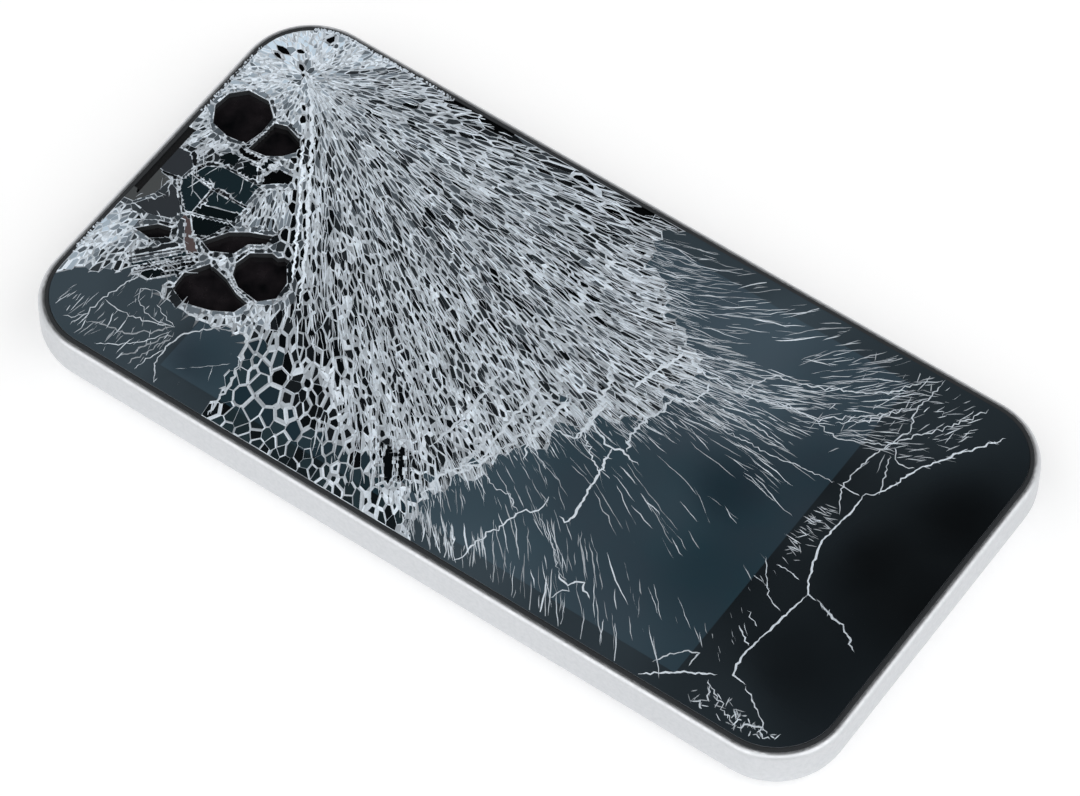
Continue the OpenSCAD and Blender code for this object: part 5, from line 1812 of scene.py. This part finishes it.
@dataclass
class Studio:
    """The floor, the light round the phone and the camera."""

    azimuth: float = -55.3
    elevation: float = 55.7
    roll: float = 0.6
    distance: float = 0.7262
    aim_mm: Place3 = (-0.1, -0.8, 4.3)
    lens: float = 201.0
    # The strength of the white tent and of the dark card, and how far off its middle the card ends
    tent: float = 0.8
    card: float = 0.016
    card_deg: Point = (40.0, 24.0)
    floor_half: float = 6.0
    paper: Rgba = (0.82, 0.82, 0.82, 1)

    def camera(self) -> None:
        """Puts the camera above the front left corner, far off with a long lens."""
        a, e, r = (math.radians(v) for v in (self.azimuth, self.elevation, self.roll))
        back = Vector((math.sin(a) * math.cos(e), -math.cos(a) * math.cos(e), math.sin(e)))
        right = Vector((math.cos(a), math.sin(a), 0))
        up = back.cross(right)
        right, up = right * math.cos(r) + up * math.sin(r), up * math.cos(r) - right * math.sin(r)
        data = bpy.data.cameras.new("camera")
        data.lens = self.lens
        data.sensor_width = 36
        data.clip_start = 0.01
        made = bpy.data.objects.new("camera", data)
        place = Vector(self.aim_mm) * MM + back * self.distance
        turn = Matrix((right, up, back)).transposed().to_4x4()
        made.matrix_world = Matrix.Translation(place) @ turn
        bpy.context.scene.collection.objects.link(made)
        bpy.context.scene.camera = made

    def floor(self) -> None:
        """Lays a wide white floor that keeps the phone's shadow."""
        mesh = bpy.data.meshes.new("floor")
        half = self.floor_half
        corners = [(-half, -half, 0), (half, -half, 0), (half, half, 0), (-half, half, 0)]
        mesh.from_pydata(corners, [], [(0, 1, 2, 3)])
        made = bpy.data.objects.new("floor", mesh)
        bpy.context.scene.collection.objects.link(made)
        paper = bpy.data.materials.new("floor_paper")
        paper.use_nodes = True
        tree = paper.node_tree
        tree.nodes.clear()
        diffuse = add_node(tree, "ShaderNodeBsdfDiffuse", {"Color": self.paper})
        path = add_node(tree, "ShaderNodeLightPath")
        seen = path.outputs["Is Camera Ray"]
        for name in ("Is Glossy Ray", "Is Transmission Ray"):
            either = {0: seen, 1: path.outputs[name]}
            seen = add_node(tree, "ShaderNodeMath", links=either, operation="MAXIMUM").outputs[0]
        # Far off, where the soft boxes give less light, the paper is lifted more, so no horizon shows
        place = add_node(tree, "ShaderNodeTexCoord").outputs["Object"]
        away = add_node(tree, "ShaderNodeVectorMath", links={0: place}, operation="LENGTH").outputs["Value"]
        reach = {"From Min": 0.4, "From Max": 1.6, "To Min": 0.3, "To Max": 0.6}
        level = add_node(tree, "ShaderNodeMapRange", reach, {"Value": away}).outputs[0]
        lift = add_node(tree, "ShaderNodeMath", links={0: seen, 1: level}, operation="MULTIPLY")
        glow = add_node(tree, "ShaderNodeEmission", links={"Strength": lift.outputs[0]})
        both = add_node(tree, "ShaderNodeAddShader", links={0: diffuse.outputs[0], 1: glow.outputs[0]})
        add_node(tree, "ShaderNodeOutputMaterial", links={"Surface": both.outputs[0]})
        mesh.materials.append(paper)

    def world(self) -> None:
        """Makes a white tent with one dark card in it, hung where the glass would mirror the tent."""
        world = bpy.data.worlds.new("tent")
        world.use_nodes = True
        tree = world.node_tree
        tree.nodes.clear()
        place = add_node(tree, "ShaderNodeTexCoord").outputs["Generated"]
        a, e = math.radians(self.azimuth), math.radians(self.elevation)
        mirror = (-math.sin(a) * math.cos(e), math.cos(a) * math.cos(e), math.sin(e))
        near = add_node(tree, "ShaderNodeVectorMath", {1: mirror}, {0: place}, operation="DOT_PRODUCT")
        low, high = (math.cos(math.radians(v)) for v in self.card_deg)
        tent = add_node(
            tree,
            "ShaderNodeMapRange",
            {"From Min": low, "From Max": high, "To Min": self.tent, "To Max": self.card},
            {"Value": near.outputs["Value"]},
            interpolation_type="SMOOTHSTEP",
        ).outputs[0]
        seen = add_node(tree, "ShaderNodeLightPath").outputs["Is Camera Ray"]
        level = add_node(tree, "ShaderNodeMix", {3: 1.0}, {0: seen, 2: tent}, data_type="FLOAT").outputs[0]
        shade = add_node(tree, "ShaderNodeBackground", {"Color": (1, 1, 1, 1)}, {"Strength": level})
        add_node(tree, "ShaderNodeOutputWorld", links={"Surface": shade.outputs[0]})
        bpy.context.scene.world = world

    def lamp(self, name: str, place: Place3, size: float, watts: float) -> None:
        """Hangs a square soft box that faces the phone.

        Args:
            name: its name.
            place: where it hangs, in metres.
            size: the length of its sides, in metres.
            watts: its power.
        """
        data = bpy.data.lights.new(name, "AREA")
        data.size = size
        data.energy = watts
        made = bpy.data.objects.new(name, data)
        made.location = place
        made.rotation_euler = Vector(place).to_track_quat("Z", "Y").to_euler()
        bpy.context.scene.collection.objects.link(made)

    def build(self) -> None:
        """Sets up the whole studio."""
        self.camera()
        self.floor()
        self.world()
        self.lamp("key_softbox", (-1.5, 0.2, 1.6), 2.4, 14.0)
        self.lamp("fill_softbox", (0.2, -1.6, 1.4), 2.4, 14.0)
        bpy.context.scene.view_settings.view_transform = "Standard"


@dataclass
class FrameDresser:
    """Gives the CAD nodes that stay their finishes."""

    replaced: tuple[str, ...] = ("glass_fragments", "glass_splinters")

    def build(self) -> None:
        """Assigns each node's finish, and stops if a node was forgotten."""
        dressed = set(self.replaced)
        for part in Part:
            finish, names = part.value
            for name in names:
                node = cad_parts[name]
                node.data.materials.clear()
                node.data.materials.append(finish.material())
                dressed.add(name)
            LOG.info("%s: %s", part.name.lower(), ", ".join(names))
        missing = set(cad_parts) - dressed
        if missing:
            raise ValueError(f"no finish for {sorted(missing)}")


def main() -> None:
    """Builds the studio and the phone's pieces in order."""
    logging.basicConfig(level=logging.INFO, format="%(name)s: %(message)s")
    Studio().build()
    FrameDresser().build()
    pattern = BreakPattern()
    pattern.sow()
    LOG.info("break pattern: %d seeds", len(pattern.seeds))
    ShatteredGlass(pattern).build()
    veins = CrackVeins(pattern)
    veins.build()
    veins.build_fan()
    GlassCrumbs(pattern).build()


if __name__ == "__main__":
    main()
